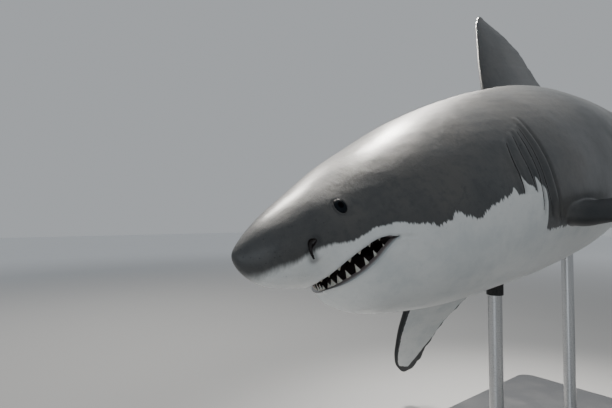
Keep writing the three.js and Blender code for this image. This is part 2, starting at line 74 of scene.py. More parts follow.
def curve_through(knots):
    """A monotone cubic through (place, value) knots, so it never swings past a value."""
    xs, ys = np.array(knots, float).T
    step = np.diff(xs)
    slope = np.diff(ys) / step
    tangent = np.concatenate([slope[:1], np.zeros(len(xs) - 2), slope[-1:]])
    turning = slope[:-1] * slope[1:] <= 0
    before = 2 * step[1:] + step[:-1]
    after = step[1:] + 2 * step[:-1]
    safe = np.where(turning, 1, slope[:-1]), np.where(turning, 1, slope[1:])
    tangent[1:-1] = np.where(turning, 0, (before + after) / (before / safe[0] + after / safe[1]))

    def curve(x):
        i = np.clip(np.searchsorted(xs, x) - 1, 0, len(step) - 1)
        h = step[i]
        t = np.clip((x - xs[i]) / h, 0, 1)
        rise = t * t * (3 - 2 * t)
        lead = h * t * (1 - t) ** 2 * tangent[i]
        return ys[i] + (ys[i + 1] - ys[i]) * rise + lead + h * t * t * (t - 1) * tangent[i + 1]

    return curve


def outline(column):
    """One column of the stations. Run in the square root of the way, it rounds the snout."""
    curve = curve_through([(math.sqrt(row[0] - SNOUT_TIP), row[column]) for row in STATIONS])
    return lambda x: curve(np.sqrt(np.maximum(x - SNOUT_TIP, 0)))


back_at, belly_at, half_width_at = outline(1), outline(2), outline(3)


def middle_at(x):
    half = (back_at(x) - belly_at(x)) / 2
    return (back_at(x) + belly_at(x)) / 2 - WIDEST_DROP * half


def body_point(x, angle, outward=0.0):
    """A point of the body surface: angle 0 is the right flank, a quarter turn the back."""
    across, up = np.cos(angle), np.sin(angle)
    power = np.where(up >= 0, 2 / BACK_ROUNDNESS, 2 / BELLY_ROUNDNESS)
    middle = middle_at(x)
    height = np.where(up >= 0, back_at(x) - middle, middle - belly_at(x)) + outward
    keel = KEEL_REACH * np.exp(-(((x - KEEL_MIDDLE) / KEEL_SPAN) ** 2))
    width = (half_width_at(x) + outward) * np.abs(across) ** power
    y = np.sign(across) * (width + keel * np.abs(across) ** KEEL_SHARPNESS)
    z = middle + np.sign(up) * height * np.abs(up) ** power
    return np.stack(np.broadcast_arrays(x, y, z), -1)


def width_at_height(x, z):
    middle = middle_at(x)
    above = z >= middle
    height = np.where(above, back_at(x) - middle, middle - belly_at(x))
    roundness = np.where(above, BACK_ROUNDNESS, BELLY_ROUNDNESS)
    share = np.minimum(np.abs(z - middle) / height, 1)
    return half_width_at(x) * (1 - share ** roundness) ** (1 / roundness)


def closed_tube(name, rings, zone=0):
    """A closed mesh from rings of points (ring, side, xyz), its ends fanned to their middles."""
    count, sides, _ = rings.shape
    points = np.concatenate([rings.reshape(-1, 3), rings[[0, -1]].mean(1)])
    here = np.arange(count * sides).reshape(count, sides)
    beside = np.roll(here, -1, axis=1)
    quads = np.stack([here[:-1], beside[:-1], beside[1:], here[1:]], -1).reshape(-1, 4)
    first = np.stack([np.full(sides, count * sides), beside[0], here[0]], -1)
    last = np.stack([np.full(sides, count * sides + 1), here[-1], beside[-1]], -1)
    corners = np.concatenate([quads.ravel(), first.ravel(), last.ravel()])
    sizes = np.concatenate([np.full(len(quads), 4), np.full(2 * sides, 3)])
    mesh = bpy.data.meshes.new(name)
    mesh.vertices.add(len(points))
    write(mesh.vertices, "co", points)
    mesh.loops.add(len(corners))
    write(mesh.loops, "vertex_index", corners, np.int32)
    mesh.polygons.add(len(sizes))
    write(mesh.polygons, "loop_start", np.concatenate([[0], np.cumsum(sizes)[:-1]]), np.int32)
    mesh.update(calc_edges=True)
    tag = mesh.attributes.new("zone", "INT", "FACE")
    write(tag.data, "value", np.full(len(sizes), zone), np.int32)
    if signed_volume(mesh) < 0:
        mesh.flip_normals()
    return placed(name, mesh)


def write(items, key, values, kind=np.float32):
    items.foreach_set(key, values.astype(kind).ravel())


def read(items, key, width, kind=np.int32):
    values = np.empty((len(items), width), kind)
    items.foreach_get(key, values.reshape(-1))
    return values


def vertices_of(mesh):
    return read(mesh.vertices, "co", 3, np.float32).astype(float)


def signed_volume(mesh):
    mesh.calc_loop_triangles()
    a, b, c = vertices_of(mesh)[read(mesh.loop_triangles, "vertices", 3)].transpose(1, 0, 2)
    return np.einsum("ij,ij->", a, np.cross(b, c))


def placed(name, data):
    """A mesh, a light or a camera as an object of the scene."""
    thing = bpy.data.objects.new(name, data)
    bpy.context.scene.collection.objects.link(thing)
    return thing


# Ring places, in percent, are closest together round the eye and mouth and over the gills.
RING_STEPS_MM = [(2.5, 2.2), (9.6, 4.0), (19.2, 2.6), (25.8, 6.0), (33, 9.0), (84, 7.0)]
TIP_RINGS = 26
BODY_SIDES = int(448 * FINENESS)


def ring_places():
    tip_length = RING_STEPS_MM[0][0] - SNOUT_TIP
    steps = int(TIP_RINGS * FINENESS)
    places = [SNOUT_TIP + tip_length * (i / steps) ** 2 for i in range(1, steps + 1)]
    while places[-1] < BODY_END:
        step = [size for start, size in RING_STEPS_MM if start <= places[-1] + 1e-9][-1]
        places.append(places[-1] + step * MM / FINENESS)
    return np.array(places[:-1] + [BODY_END])


places = ring_places()[:, None]
angles = np.linspace(0, 2 * math.pi, BODY_SIDES, endpoint=False)[None, :]
trunk = body_point(places, angles)
lengthways = np.gradient(trunk, axis=0)
around = np.roll(trunk, -1, 1) - np.roll(trunk, 1, 1)
trunk_normals = np.cross(around, lengthways)
trunk_normals /= np.linalg.norm(trunk_normals, axis=2, keepdims=True) + 1e-12
outwards = np.sign((trunk_normals[..., 1] * trunk[..., 1]).sum())
trunk_normals = trunk_normals.reshape(-1, 3) * outwards


# ---------------------------------------------------------------------------------------------
# Relief of the hide: rolled rims round the eyes, nasal flaps, creases behind the mouth's corners,
# a chin eased on the right, overlapping gill flaps, the pits before the tail and the unevenness
# of muscle. All of it is cartilage and skin, so no edge is sharp. Heights are in millimetres.

EYE_X, EYE_ANGLE = 6.5, math.radians(19)
EYE_RADIUS, EYE_DEPTH, SOCKET_GRIP = 29.0, 20.5, 0.4
EYE_OVAL = (0.81, 1, 1.19)
MUSCLE = [(0.9, 260, 3), (0.35, 70, 4)]
EYE_RIM, RIM_START, RIM_REACH = 1.2, 21, 17
MOUTH_CORNER = [9.15, -1.86]
CORNER_CREASES = [
    [(8.9, -4.95, -1.86), (9.5, -5.15, -1.95), (10.4, -5.42, -2.25)],
    [(8.15, -4.55, -2.55), (8.9, -4.8, -2.75), (9.6, -5.0, -3.2)],
]
CREASE_DEPTHS, CREASE_REACH = (3.6, 2.4), 3.4
NASAL_FLAP, FLAP_RISE, FLAP_REACH = (4.42, -2.58, -1.3), 4.5, 9
CHIN_EDGE = [(5.6, 0, -3.3), (6.3, 2.16, -3.4), (6.9, 3.15, -3.25), (7.6, 3.9, -2.85)]
CHIN_EASE, CHIN_REACH = 12, 24
GILL_STATIONS = [20.3, 21.55, 22.4, 23.0, 24.0]
GILL_TOP = [2.6, 3.1, 3.4, 3.7, 4.4]
GILL_FOOT = [-1.9, -2.1, -3.8, -4.4, -4.9]
GILL_FOOT_SWEEP = [0, 0.6, 0, 4, 5]
GILL_WEIGHTS = [0.7, 0.8, 0.8, 0.8, 1.5]
GILL_TOP_SWEEP, GILL_STRAIGHT = 3.2, 0.45
TAIL_PIT_X, PIT_DEPTH, PIT_LENGTH, PIT_HALF_WIDTH = 84.6, 7, 16, 34

# Bands of relief: how high or deep, how far out they run, and their reach.
LID_FOLD, CREASE_ROLL, GILL_SWELL, GILL_SINK = (1.4, 25, 3), (0.4, 9, 5), (3.4, -12, 12), (3.6, 9, 9)


def bump(distance, reach):
    return np.exp(-((distance / reach) ** 2))


def band(distance, strength, place, reach):
    return strength * bump(distance - place, reach)


def on_left(points):
    """The points, with those of the right side mirrored to the left."""
    return np.column_stack([points[:, 0], -np.abs(points[:, 1]), points[:, 2]])


def reach_of(points, path):
    """Millimetres from each point to a path, and how far along the path its nearest spot is."""
    path = np.array(path, float)
    lengths = np.linalg.norm(np.diff(path, axis=0), axis=1)
    nearest = np.full(len(points), np.inf)
    way = np.zeros(len(points))
    for i, length in enumerate(lengths):
        leg = (path[i + 1] - path[i]) / length
        along = np.clip((points - path[i]) @ leg, 0, length)
        gap = np.linalg.norm(points - path[i] - along[:, None] * leg, axis=1)
        way = np.where(gap < nearest, (lengths[:i].sum() + along) / lengths.sum(), way)
        nearest = np.minimum(gap, nearest)
    return nearest / MM, way


def eye_axis():
    """The left eye's spot on the skin and the way out of it."""
    turn = math.pi - EYE_ANGLE
    spot = body_point(EYE_X, turn)
    out = np.cross(body_point(EYE_X + 0.1, turn) - spot, body_point(EYE_X, turn + 0.02) - spot)
    return spot, out / np.linalg.norm(out) * -np.sign(out[1])


def beside_eye(left):
    """Millimetres out from the eye's axis, and how far forward and up of it, from 0 to 1."""
    spot, out = eye_axis()
    offset = (left - spot) / MM / EYE_OVAL
    beside = np.linalg.norm(offset - (offset @ out)[:, None] * out, axis=1)
    beside += 200 * (np.linalg.norm(offset, axis=1) > 90)
    return beside, np.clip((0.5 * offset[:, 2] - offset[:, 0]) / (beside + 1), 0, 1)


def gill_line(index, z):
    """Where a slit runs at height z, and its share of the way up from foot to top."""
    rise = np.clip((z - GILL_FOOT[index]) / (GILL_TOP[index] - GILL_FOOT[index]), 0, 1)
    swept = GILL_TOP_SWEEP * np.maximum(rise - GILL_STRAIGHT, 0) ** 2
    swept += GILL_FOOT_SWEEP[index] * np.maximum(GILL_STRAIGHT - rise, 0) ** 2
    return GILL_STATIONS[index] + swept, rise


def unevenness(points, wavelength_mm, seed):
    """Soft undulation between -1 and 1 from crossing waves."""
    random = np.random.default_rng(seed)
    waves = random.normal(size=(14, 3))
    waves *= 2 * math.pi / (wavelength_mm * MM) / np.linalg.norm(waves, axis=1, keepdims=True)
    waves *= random.uniform(0.6, 1.5, (14, 1))
    return np.sin(points @ waves.T + random.uniform(0, 6.3, 14)).sum(1) / 7


def relief(points):
    left = on_left(points)
    x, y, z = left.T
    height = sum(tall * unevenness(points, wavelength, seed) for tall, wavelength, seed in MUSCLE)

    beside, ahead = beside_eye(left)
    height += EYE_RIM * bump(np.maximum(beside - RIM_START, 0), RIM_REACH)
    height -= ahead * band(beside, *LID_FOLD)

    for depth, path in zip(CREASE_DEPTHS, CORNER_CREASES):
        gap, way = reach_of(left, path)
        fade = np.sin(math.pi * np.clip(way * 0.9 + 0.1, 0, 1)) ** 0.6
        height -= fade * depth * (bump(gap, CREASE_REACH) - band(gap, *CREASE_ROLL))
    gap = np.linalg.norm(left - np.array(NASAL_FLAP), axis=1) / MM
    height += FLAP_RISE * bump(gap, FLAP_REACH)
    gap, way = reach_of(points, CHIN_EDGE)
    height -= CHIN_EASE * bump(gap, CHIN_REACH) * np.sin(math.pi * way) ** 0.7

    for i in range(len(GILL_STATIONS)):
        line, rise = gill_line(i, z)
        behind = (x - line) / MM
        extent = GILL_WEIGHTS[i] * np.sin(math.pi * rise) ** 0.4 * (y < 0)
        height += extent * (band(behind, *GILL_SWELL) - band(behind, *GILL_SINK))

    pit = bump((x - TAIL_PIT_X) / MM, PIT_LENGTH) * bump(y / MM, PIT_HALF_WIDTH)
    return height - PIT_DEPTH * pit


trunk = trunk + (relief(trunk.reshape(-1, 3))[:, None] * MM * trunk_normals).reshape(trunk.shape)
skin = closed_tube("skin", trunk)


# ---------------------------------------------------------------------------------------------
# Openings in the hide: the mouth between its two lips, with gums, palate and tongue inside, five
# gill slits on each side, the nostrils and the eye sockets. Each is a closed form that is taken
# out of the trunk.

MOUTH, HOLLOW = 20, 21
UPPER_LIP = [(4, -2.95), (4.6, -2.74), (5.3, -2.5), (6.1, -2.08), (7, -1.76), (7.9, -1.56),
             (8.5, -1.6), (9.15, -1.86), (11.4, -1.86)]
LOWER_LIP = [(4, -3.1), (5.1, -3.12), (5.5, -3.22), (6.1, -3.34), (6.8, -3.16), (7.7, -2.68),
             (8.5, -2.14), (9.15, -1.86), (11.4, -1.86)]
MOUTH_FRONT, MOUTH_BACK = 3.6, 11.3
UPPER_FORM = [(-40, 0), (0, 0), (5, 3), (10, 8), (17, 3), (26, 12), (60, 34), (140, 40)]
LOWER_FORM = [(-40, 0), (0, 0), (4, -2), (12, 4), (20, 7), (30, -1), (44, -14), (70, -26), (140, -14)]
LEAST_GAPE, CORNER_BLEND, FRONT_HALF_WIDTH, OUT_OF_SKIN = 1.6, 0.4, 1.5, 0.7
CHEEK_INSET, CHEEK_RUN, THROAT_HALF_WIDTH = 0.5, 2.2, 0.5
TONGUE_TIP, TONGUE_RUN, TONGUE_HALF_WIDTH, TONGUE_HEIGHT = 6.2, 1.2, 1.6, 12


def lip_outline(lip):
    """The plan of one lip on the body surface, from the middle in front to the corner."""
    places = np.linspace(MOUTH_FRONT, MOUTH_CORNER[0], 240)
    heights = lip(places)
    inside = heights > belly_at(places)
    places, heights = places[inside], heights[inside]
    plan = np.stack([places, width_at_height(places, heights)], 1)
    return np.concatenate([[[places[0], 0]], plan])


def depth_behind_lip(x, y, lip, plan):
    """Millimetres inwards from the lip, negative outside the body."""
    flat = np.stack([x.ravel(), np.abs(y).ravel(), np.zeros(x.size)], 1)
    gap, _ = reach_of(flat, np.column_stack([plan[::4], np.zeros(len(plan[::4]))]))
    height = lip(x)
    inside = (np.abs(y) < width_at_height(x, height)) & (height > belly_at(x))
    return np.where(inside, 1, -1) * gap.reshape(x.shape)


upper_lip, lower_lip = curve_through(UPPER_LIP), curve_through(LOWER_LIP)
upper_plan, lower_plan = lip_outline(upper_lip), lip_outline(lower_lip)
upper_form, lower_form = curve_through(UPPER_FORM), curve_through(LOWER_FORM)


def mouth_opening():
    corner_x, corner_z = MOUTH_CORNER
    rows = np.linspace(MOUTH_FRONT, MOUTH_BACK, int(150 * FINENESS))
    corner = float(width_at_height(corner_x, corner_z))
    shut = np.clip((rows - corner_x) / CORNER_BLEND + 0.5, 0, 1)
    lips = [width_at_height(rows, lip(rows)) for lip in (upper_lip, lower_lip)]
    open_width = np.maximum(np.maximum(*lips), FRONT_HALF_WIDTH) + OUT_OF_SKIN
    past_corner = np.clip((rows - corner_x) / CHEEK_RUN, 0, 1) ** 1.3
    cheek = corner - CHEEK_INSET
    cheek = cheek + (THROAT_HALF_WIDTH - cheek) * past_corner
    half = open_width * (1 - shut) + cheek * shut
    x, across = np.meshgrid(rows, np.linspace(-1, 1, int(200 * FINENESS)), indexing="ij")
    y = half[:, None] * across
    top = upper_lip(x) + upper_form(depth_behind_lip(x, y, upper_lip, upper_plan)) * MM
    low = lower_lip(x) + lower_form(depth_behind_lip(x, y, lower_lip, lower_plan)) * MM
    tongue = bump(y, TONGUE_HALF_WIDTH) * np.clip((x - TONGUE_TIP) / TONGUE_RUN, 0, 1)
    low += tongue * TONGUE_HEIGHT * MM
    closing = np.clip((x - corner_x) / (MOUTH_BACK - corner_x), 0, 1) ** 2
    middle = (top + low) / 2
    half_gape = np.maximum((top - low) / 2 * (1 - 0.9 * closing), LEAST_GAPE / 2 * MM)
    ceiling = np.stack([x, y, middle + half_gape], -1)
    floor = np.stack([x, y, middle - half_gape], -1)
    return closed_tube("mouth_opening", np.concatenate([ceiling, floor[:, ::-1]], 1), MOUTH)


GILL_WIDTH, GILL_DEPTH, GILL_PROUD, GILL_RAKE, GILL_NARROWING = 8.0, 26.0, 14.0, 0.3, 0.55


def gill_slit(index, side):
    """A thin curved wedge, narrowing to its ends and raked forward as it goes in."""
    rise = np.linspace(0.02, 0.98, int(60 * FINENESS))[:, None]
    z = GILL_FOOT[index] + (GILL_TOP[index] - GILL_FOOT[index]) * rise
    middle = middle_at(GILL_STATIONS[index])
    angle = np.arcsin((z - middle) / (back_at(GILL_STATIONS[index]) - middle))
    line, _ = gill_line(index, z)
    taper = np.sin(math.pi * rise) ** 0.45
    around = np.linspace(0, 2 * math.pi, 17)[None, :-1]
    inwards = (1 - np.cos(around)) / 2
    width = GILL_WIDTH * (1 - GILL_NARROWING * inwards) * np.sin(around) * taper / 2
    deep = GILL_PROUD - (GILL_PROUD + GILL_DEPTH * taper) * inwards
    back = line + width * MM - GILL_RAKE * inwards
    turn = angle if side > 0 else math.pi - angle
    return closed_tube(f"gill_slit_{index}", body_point(back, turn, deep * MM), HOLLOW)


NOSTRIL_PATH = [(4.42, -3.02, -0.3), (4.1, -2.87, -0.42), (3.98, -2.69, -0.8), (4.14, -2.47, -1.3)]
NOSTRIL_RADII = [(0, 3.5), (0.3, 10.5), (0.6, 4.6), (1, 1.5)]


def swept_tube(name, path, radii, sides, steps, side, zone):
    """A tube of changing radius along a smooth path, mirrored to the given side."""
    path = np.array(path, float)
    knots = np.linspace(0, 1, len(path))
    way = np.linspace(0, 1, steps)
    line = np.stack([curve_through(np.column_stack([knots, path[:, k]]))(way) for k in range(3)], 1)
    line[:, 1] *= -side
    along = np.gradient(line, axis=0)
    along /= np.linalg.norm(along, axis=1, keepdims=True)
    out = np.cross(along, [1.0, 0, 0])
    out /= np.linalg.norm(out, axis=1, keepdims=True)
    turn = np.linspace(0, 2 * math.pi, sides, endpoint=False)
    radius = curve_through(radii)(way)[:, None, None] * MM
    ring = out[:, None] * np.cos(turn)[:, None] + np.cross(along, out)[:, None] * np.sin(turn)[:, None]
    return closed_tube(name, line[:, None] + radius * ring, zone)


def ball(name, centre, radius, zone=0, steps=48):
    polar = np.linspace(0, math.pi, steps + 1)[1:-1, None]
    turn = np.linspace(0, 2 * math.pi, 2 * steps, endpoint=False)[None, :]
    rings = np.stack(np.broadcast_arrays(
        np.sin(polar) * np.cos(turn), np.sin(polar) * np.sin(turn), np.cos(polar)), -1)
    return closed_tube(name, np.array(centre) + radius * rings, zone)


def cut_or_join(target, tool, operation):
    """Takes the tool out of the target's mesh, or joins it on, and removes the tool."""
    step = target.modifiers.new("step", "BOOLEAN")
    step.operation, step.solver, step.object = operation, "MANIFOLD", tool
    graph = bpy.context.evaluated_depsgraph_get()
    result = bpy.data.meshes.new_from_object(target.evaluated_get(graph))
    target.modifiers.clear()
    old = target.data
    target.data = result
    bpy.data.meshes.remove(old)
    bpy.data.objects.remove(tool)


def gather(tools):
    """Separate closed forms as one tool."""
    with bpy.context.temp_override(active_object=tools[0], selected_editable_objects=tools):
        bpy.ops.object.join()
    return tools[0]


eye_spot, eye_out = eye_axis()
eye_middle = eye_spot - eye_out * EYE_DEPTH * MM
openings = []
for side in (-1, 1):
    openings += [gill_slit(i, side) for i in range(len(GILL_STATIONS))]
    openings.append(swept_tube("nostril", NOSTRIL_PATH, NOSTRIL_RADII, 24, 40, side, HOLLOW))
    reach = (EYE_RADIUS - SOCKET_GRIP) * MM * np.array(EYE_OVAL)
    openings.append(ball("socket", eye_middle * (1, -side, 1), reach, HOLLOW))
cut_or_join(skin, gather(openings), "DIFFERENCE")
cut_or_join(skin, mouth_opening(), "DIFFERENCE")


# ---------------------------------------------------------------------------------------------
# Fins: stiff blades of cartilage rays under the same hide, thick and rounded in front, thin and a
# little ragged behind, each flaring where it grows out of the body. Rows give the span, the
# leading edge and the trailing edge there.

FIRST_DORSAL = [
    [7.5, 34.9, 49.0], [9.6, 35.6, 49.5], [10.2, 36.1, 50.8], [10.8, 36.5, 52.0],
    [12.6, 37.4, 51.2], [15.2, 38.8, 50.5], [17.2, 40.1, 49.6], [19.0, 41.3, 48.05],
    [20.6, 42.5, 46.0], [21.9, 44.1, 44.7],
]
PECTORAL = [
    [-3.4, -1.0, 8.2], [0, 0.1, 9.0], [1, 0.6, 11.3], [2.2, 1.15, 12.5], [3.6, 1.85, 12.1],
    [5.2, 2.65, 11.8], [8.6, 4.4, 11.85], [11.4, 5.85, 12.45], [14, 7.45, 13.1],
    [16.4, 9.1, 13.95], [18.2, 10.8, 14.25], [19.5, 12.9, 13.5],
]
PELVIC = [
    [-1.6, 0, 4.4], [0, 0.5, 4.9], [0.8, 0.9, 6.4], [1.6, 1.4, 6.3], [3, 2.4, 5.5],
    [4.1, 3.7, 4.8], [4.4, 4.2, 4.5],
]
SMALL_FIN = [[-1.2, 0, 1.5], [0, 0.2, 1.7], [0.35, 0.5, 3.1], [0.9, 1.0, 2.6], [1.5, 1.65, 2.05]]
UPPER_LOBE = [
    [0.02, 84.2, 92.5], [2, 85.3, 93.0], [5, 87.7, 94.4], [9, 91.1, 96.6], [13, 94.8, 98.6],
    [15.6, 97.3, 99.6], [16.8, 98.6, 99.6], [17.8, 99.8, 100],
]
LOWER_LOBE = [
    [0.02, 84.7, 92.5], [2, 85.8, 92.7], [5, 87.9, 93.5], [8, 90.3, 94.5], [11, 92.9, 95.6],
    [13.3, 95.1, 96.5], [14, 96.0, 96.5],
]
DORSAL_FLEX, DORSAL_BASE, DORSAL_HEIGHT = 0.5, 10, 12
SECOND_DORSAL_X, ANAL_X = 70.6, 73.2
SEATS = {
    ("pectoral", -1): {"x": 25.6, "below": 29, "droop": 25, "root_tip": 8, "tip": -1},
    ("pectoral", 1): {"x": 25.6, "below": 29, "droop": 38, "root_tip": 14, "tip": 27},
    ("pelvic", -1): {"x": 54.5, "below": 52, "droop": 38, "root_tip": 4, "tip": 8},
    ("pelvic", 1): {"x": 54.5, "below": 52, "droop": 38, "root_tip": 4, "tip": 8},
}
FOIL_PEAK, TIP_ROUNDING, TIP_MIDDLE = 2.6, 0.3, 0.6
EDGE = 1.6 * MM
UPRIGHT, PECTORALS, PELVICS, ANAL = 1, 2, 3, 4


def ragged(v, seed, deep):
    """A worn trailing edge: shallow scallops with a few sharper nicks, in percent."""
    random = np.random.default_rng(seed)
    waves = sum(np.sin(v * f + random.uniform(0, 6.3)) / f for f in (1.9, 3.7, 6.1, 9.7, 15.1)) * 2.2
    nicks = sum(np.maximum(0, 1 - np.abs(v - at) / 0.28) for at in random.uniform(1, 20, 7))
    return -deep * MM * (1 + waves + 0.8 * nicks)


def blade(name, rows, place, zone, seed, base=0.0, root=0.13, tip=0.07, flare=0.5, fillet=0.9, worn=3):
    """A fin's blade: `root` and `tip` are its sections' thickness as a share of their length."""
    sides, steps = int(112 * FINENESS), int(150 * FINENESS)
    spans = np.array(rows)[:, 0]
    first, last = spans[0], spans[-1]
    leading = curve_through([row[:2] for row in rows])
    trailing = curve_through([(row[0], row[2]) for row in rows])
    v = first + (last - first) * np.sin(np.linspace(0, math.pi / 2, steps))[:, None]
    fore = leading(v)
    aft = trailing(v) + ragged(v, seed, worn) * np.clip((v - base) / 2, 0, 1)
    near_tip = np.clip((v - last + TIP_ROUNDING) / TIP_ROUNDING, 0, 1)
    rounding = np.sqrt(np.clip(1 - near_tip ** 2, 0.002, 1))
    centre = fore + (aft - fore) * TIP_MIDDLE
    fore, aft = centre + (fore - centre) * rounding, centre + (aft - centre) * rounding
    turn = -math.pi + (np.arange(sides) + 0.5)[None, :] * 2 * math.pi / sides
    share = (1 - np.cos(turn)) / 2
    section = np.sqrt(share) * (1 - share) * FOIL_PEAK
    swell = flare * np.exp(-(((v - base) / fillet) ** 2))
    ratio = root + (tip - root) * np.clip((v - base) / (last - base), 0, 1)
    half = ((aft - fore) * ratio + swell) / 2 * section + EDGE * rounding
    points = place(fore + (aft - fore) * share, v + 0 * share, half * np.sign(np.sin(turn)))
    return closed_tube(name, points, zone)


def upright(u, v, w):
    return np.stack([u, w, v], -1)


def dorsal_place(u, v, w):
    rise = np.maximum(v - DORSAL_BASE, 0) / DORSAL_HEIGHT
    return np.stack([u, w + DORSAL_FLEX * rise * rise, v], -1)


def seat_frame(fin, side, v):
    """Where a paired fin starts, and its chord, outward and thickness directions at span v."""
    seat = SEATS[fin, side]
    below = math.radians(seat["below"])
    origin = body_point(seat["x"], -below if side > 0 else math.pi + below)
    blend = np.clip(v / 3, 0, 1)
    blend = blend * blend * (3 - 2 * blend)
    tip = np.radians(seat["root_tip"] + (seat["tip"] - seat["root_tip"]) * blend)
    chord = np.stack([np.cos(tip), 0 * tip, -np.sin(tip)], -1)
    droop = math.radians(seat["droop"])
    out = np.array([0, side * math.cos(droop), -math.sin(droop)])
    out = out - (chord @ out)[..., None] * chord
    out /= np.linalg.norm(out, axis=-1, keepdims=True)
    return origin, chord, out, np.cross(chord, out)


def paired_place(fin, side):
    def place(u, v, w):
        origin, chord, out, face = seat_frame(fin, side, v)
        return origin + chord * u[..., None] + out * v[..., None] + face * w[..., None]
    return place


def small_place(x, edge, up):
    return lambda u, v, w: np.stack([x + u, w, edge(x + 1) + up * v], -1)


small = {"root": 0.16, "tip": 0.12, "flare": 0.25, "fillet": 0.4, "worn": 1}
fins = [
    blade("dorsal", FIRST_DORSAL, dorsal_place, UPRIGHT, 5, DORSAL_BASE, 0.115, 0.075, 0.7, worn=4),
    blade("dorsal_2", SMALL_FIN, small_place(SECOND_DORSAL_X, back_at, 1), UPRIGHT, 6, **small),
    blade("anal", SMALL_FIN, small_place(ANAL_X, belly_at, -1), ANAL, 7, **small),
    blade("upper_lobe", UPPER_LOBE, upright, UPRIGHT, 8, tip=0.1, flare=0.9, fillet=3),
]
for side in (-1, 1):
    place = paired_place("pectoral", side)
    fins.append(blade("pectoral", PECTORAL, place, PECTORALS, 9 + side, 0, 0.16, 0.07, 0.7, 1.6))
    fins.append(blade("pelvic", PELVIC, paired_place("pelvic", side), PELVICS, 12 + side, worn=2))
lower_lobe = blade("lower_lobe", LOWER_LOBE, lambda u, v, w: upright(u, -v, w), UPRIGHT, 15,
                   tip=0.1, flare=0.9, fillet=3)
cut_or_join(skin, gather(fins), "UNION")
cut_or_join(skin, lower_lobe, "UNION")


# ---------------------------------------------------------------------------------------------
# Drawing the skin together: the joins are worked smooth, the fin roots broadly and the lips and
# slits by a few millimetres, as living flesh has no cut edges.

# Each join is the zones beside it, the reach of the smoothing in millimetres, and its rounds.
JOINS = [
    ((UPRIGHT, PELVICS, ANAL), 26, 26),
    ((PECTORALS,), 13, 12),
    ((MOUTH,), 6.0, 9),
    ((HOLLOW,), 3.4, 4),
]
PULL, LEAST_PULL = 0.6, 0.01

hide = skin.data
points = vertices_of(hide)
corner_vertices = read(hide.loops, "vertex_index", 1)[:, 0]
face_zone = read(hide.attributes["zone"].data, "value", 1)[:, 0]
corner_zone = np.repeat(face_zone, read(hide.polygons, "loop_total", 1)[:, 0])
edges = read(hide.edges, "vertices", 2)


def touches(zones):
    """Which vertices belong to a face of one of these zones."""
    found = np.zeros(len(points), bool)
    found[corner_vertices[np.isin(corner_zone, zones)]] = True
    return found


def reach_from(spots, targets, reach):
    """Distance in millimetres from each target to the nearest spot, up to about the reach."""
    low, high = spots.min(0) - reach * MM, spots.max(0) + reach * MM
    close = np.flatnonzero(((targets > low) & (targets < high)).all(1))
    tree = KDTree(len(spots))
    for i, spot in enumerate(spots):
        tree.insert(spot, i)
    tree.balance()
    gaps = np.full(len(targets), 1e3)
    gaps[close] = [tree.find(point)[2] / MM for point in targets[close]]
    return gaps


for zones, reach, rounds in JOINS:
    seam = touches(zones) & touches((0,))
    share = bump(reach_from(points[seam], points, 2.2 * reach), reach)
    share[share < LEAST_PULL] = 0
    if zones[0] < MOUTH:
        share[touches((MOUTH, HOLLOW))] = 0
    active = edges[(share[edges] > 0).any(1)]
    for _ in range(rounds):
        total = np.zeros((len(points), 3))
        for a, b in (active.T, active.T[::-1]):
            for k in range(3):
                total[:, k] += np.bincount(a, points[b, k], len(points))
        count = np.bincount(active.ravel(), minlength=len(points))
        here = count > 0
        mean = total[here] / count[here, None]
        points[here] += (mean - points[here]) * (PULL * share[here])[:, None]


# ---------------------------------------------------------------------------------------------
# Markings: slate above and white below, parted by a ragged line from the snout under the eye and
# low round the pectoral fins, which are white underneath with a black rim. Each mark is a smooth
# distance on the skin, in millimetres, and the finish turns it into an edge.

GREY_LINE = [
    (0.34, -0.5), (0.8, -0.92), (1.5, -1.12), (2.9, -1.12), (4.1, -0.9), (5.1, -0.87), (6.5, -1.16),
    (7.8, -0.88), (9.1, -0.95), (10.6, -1.58), (12.9, -2.05), (13.5, -1.6), (14.1, -1.92),
    (15.4, -2.45), (16.5, -1.95), (17.6, -1.76), (18.7, -1.6), (19.2, -1.2), (19.5, -1.75),
    (20.2, -1.85), (20.36, -0.45), (20.8, -1.2), (21.3, -1.5), (21.72, -2.05), (21.85, -0.85),
    (22.2, -1.55), (22.7, -1.8), (22.85, -3.0), (22.95, -4.6), (23.2, -4.9), (24.3, -5.1), (27, -5.3),
    (33, -5.4), (37, -4.6), (39, -2.4), (42, -1.9), (47, -2.9), (52, -3.3), (57, -2.6), (64, -1.3),
    (72, -0.9), (80, -0.6), (86, -0.9), (93, -2),
]
RAGGEDNESS = [
    (0, 3), (4, 5), (9, 7), (12, 15), (18, 13), (20, 6), (22.5, 9), (24, 13), (38, 20), (60, 26),
    (84, 16), (93, 8),
]
LEADING_MARGIN, TIP_MARGIN = 15, 60
TRAILING_MARGIN = [(0, 6), (11, 9), (14, 26), (16.5, 52), (19.5, 62)]
DARK_LEADING_EDGE, EDGE_DARKNESS = [(0, 120), (6, 60), (19.5, 45)], 1.3
BLACK_START, UNDERSIDE_ONLY, NO_BLACK = 4, 60, -99
FIN_GREY, UPRIGHT_GREY, ANAL_GREY, ANAL_PALING = 70, 200, -40, -30
OUTER_SPAN, MARK_START, MARK_BLEND, CLEAR_OF_BODY = 9.0, -0.3, 1.6, 0.5
AXIL_SPOT, AXIL_REACH = (36.9, -6.4, -5.4), (30, 26)
SNOUT_SOFTNESS, SOFT_END = 5, 8
SCAR_REACH = 2.6
SCARS = [
    [(7.18, 0.7, -4.76), (7.58, 0.82, -4.8)],
    [(21.7, -8.1, 1.54), (22.7, -8.09, 2.05)],
    [(26.1, -8.45, 2.3), (26.5, -8.4, 2.5)],
]

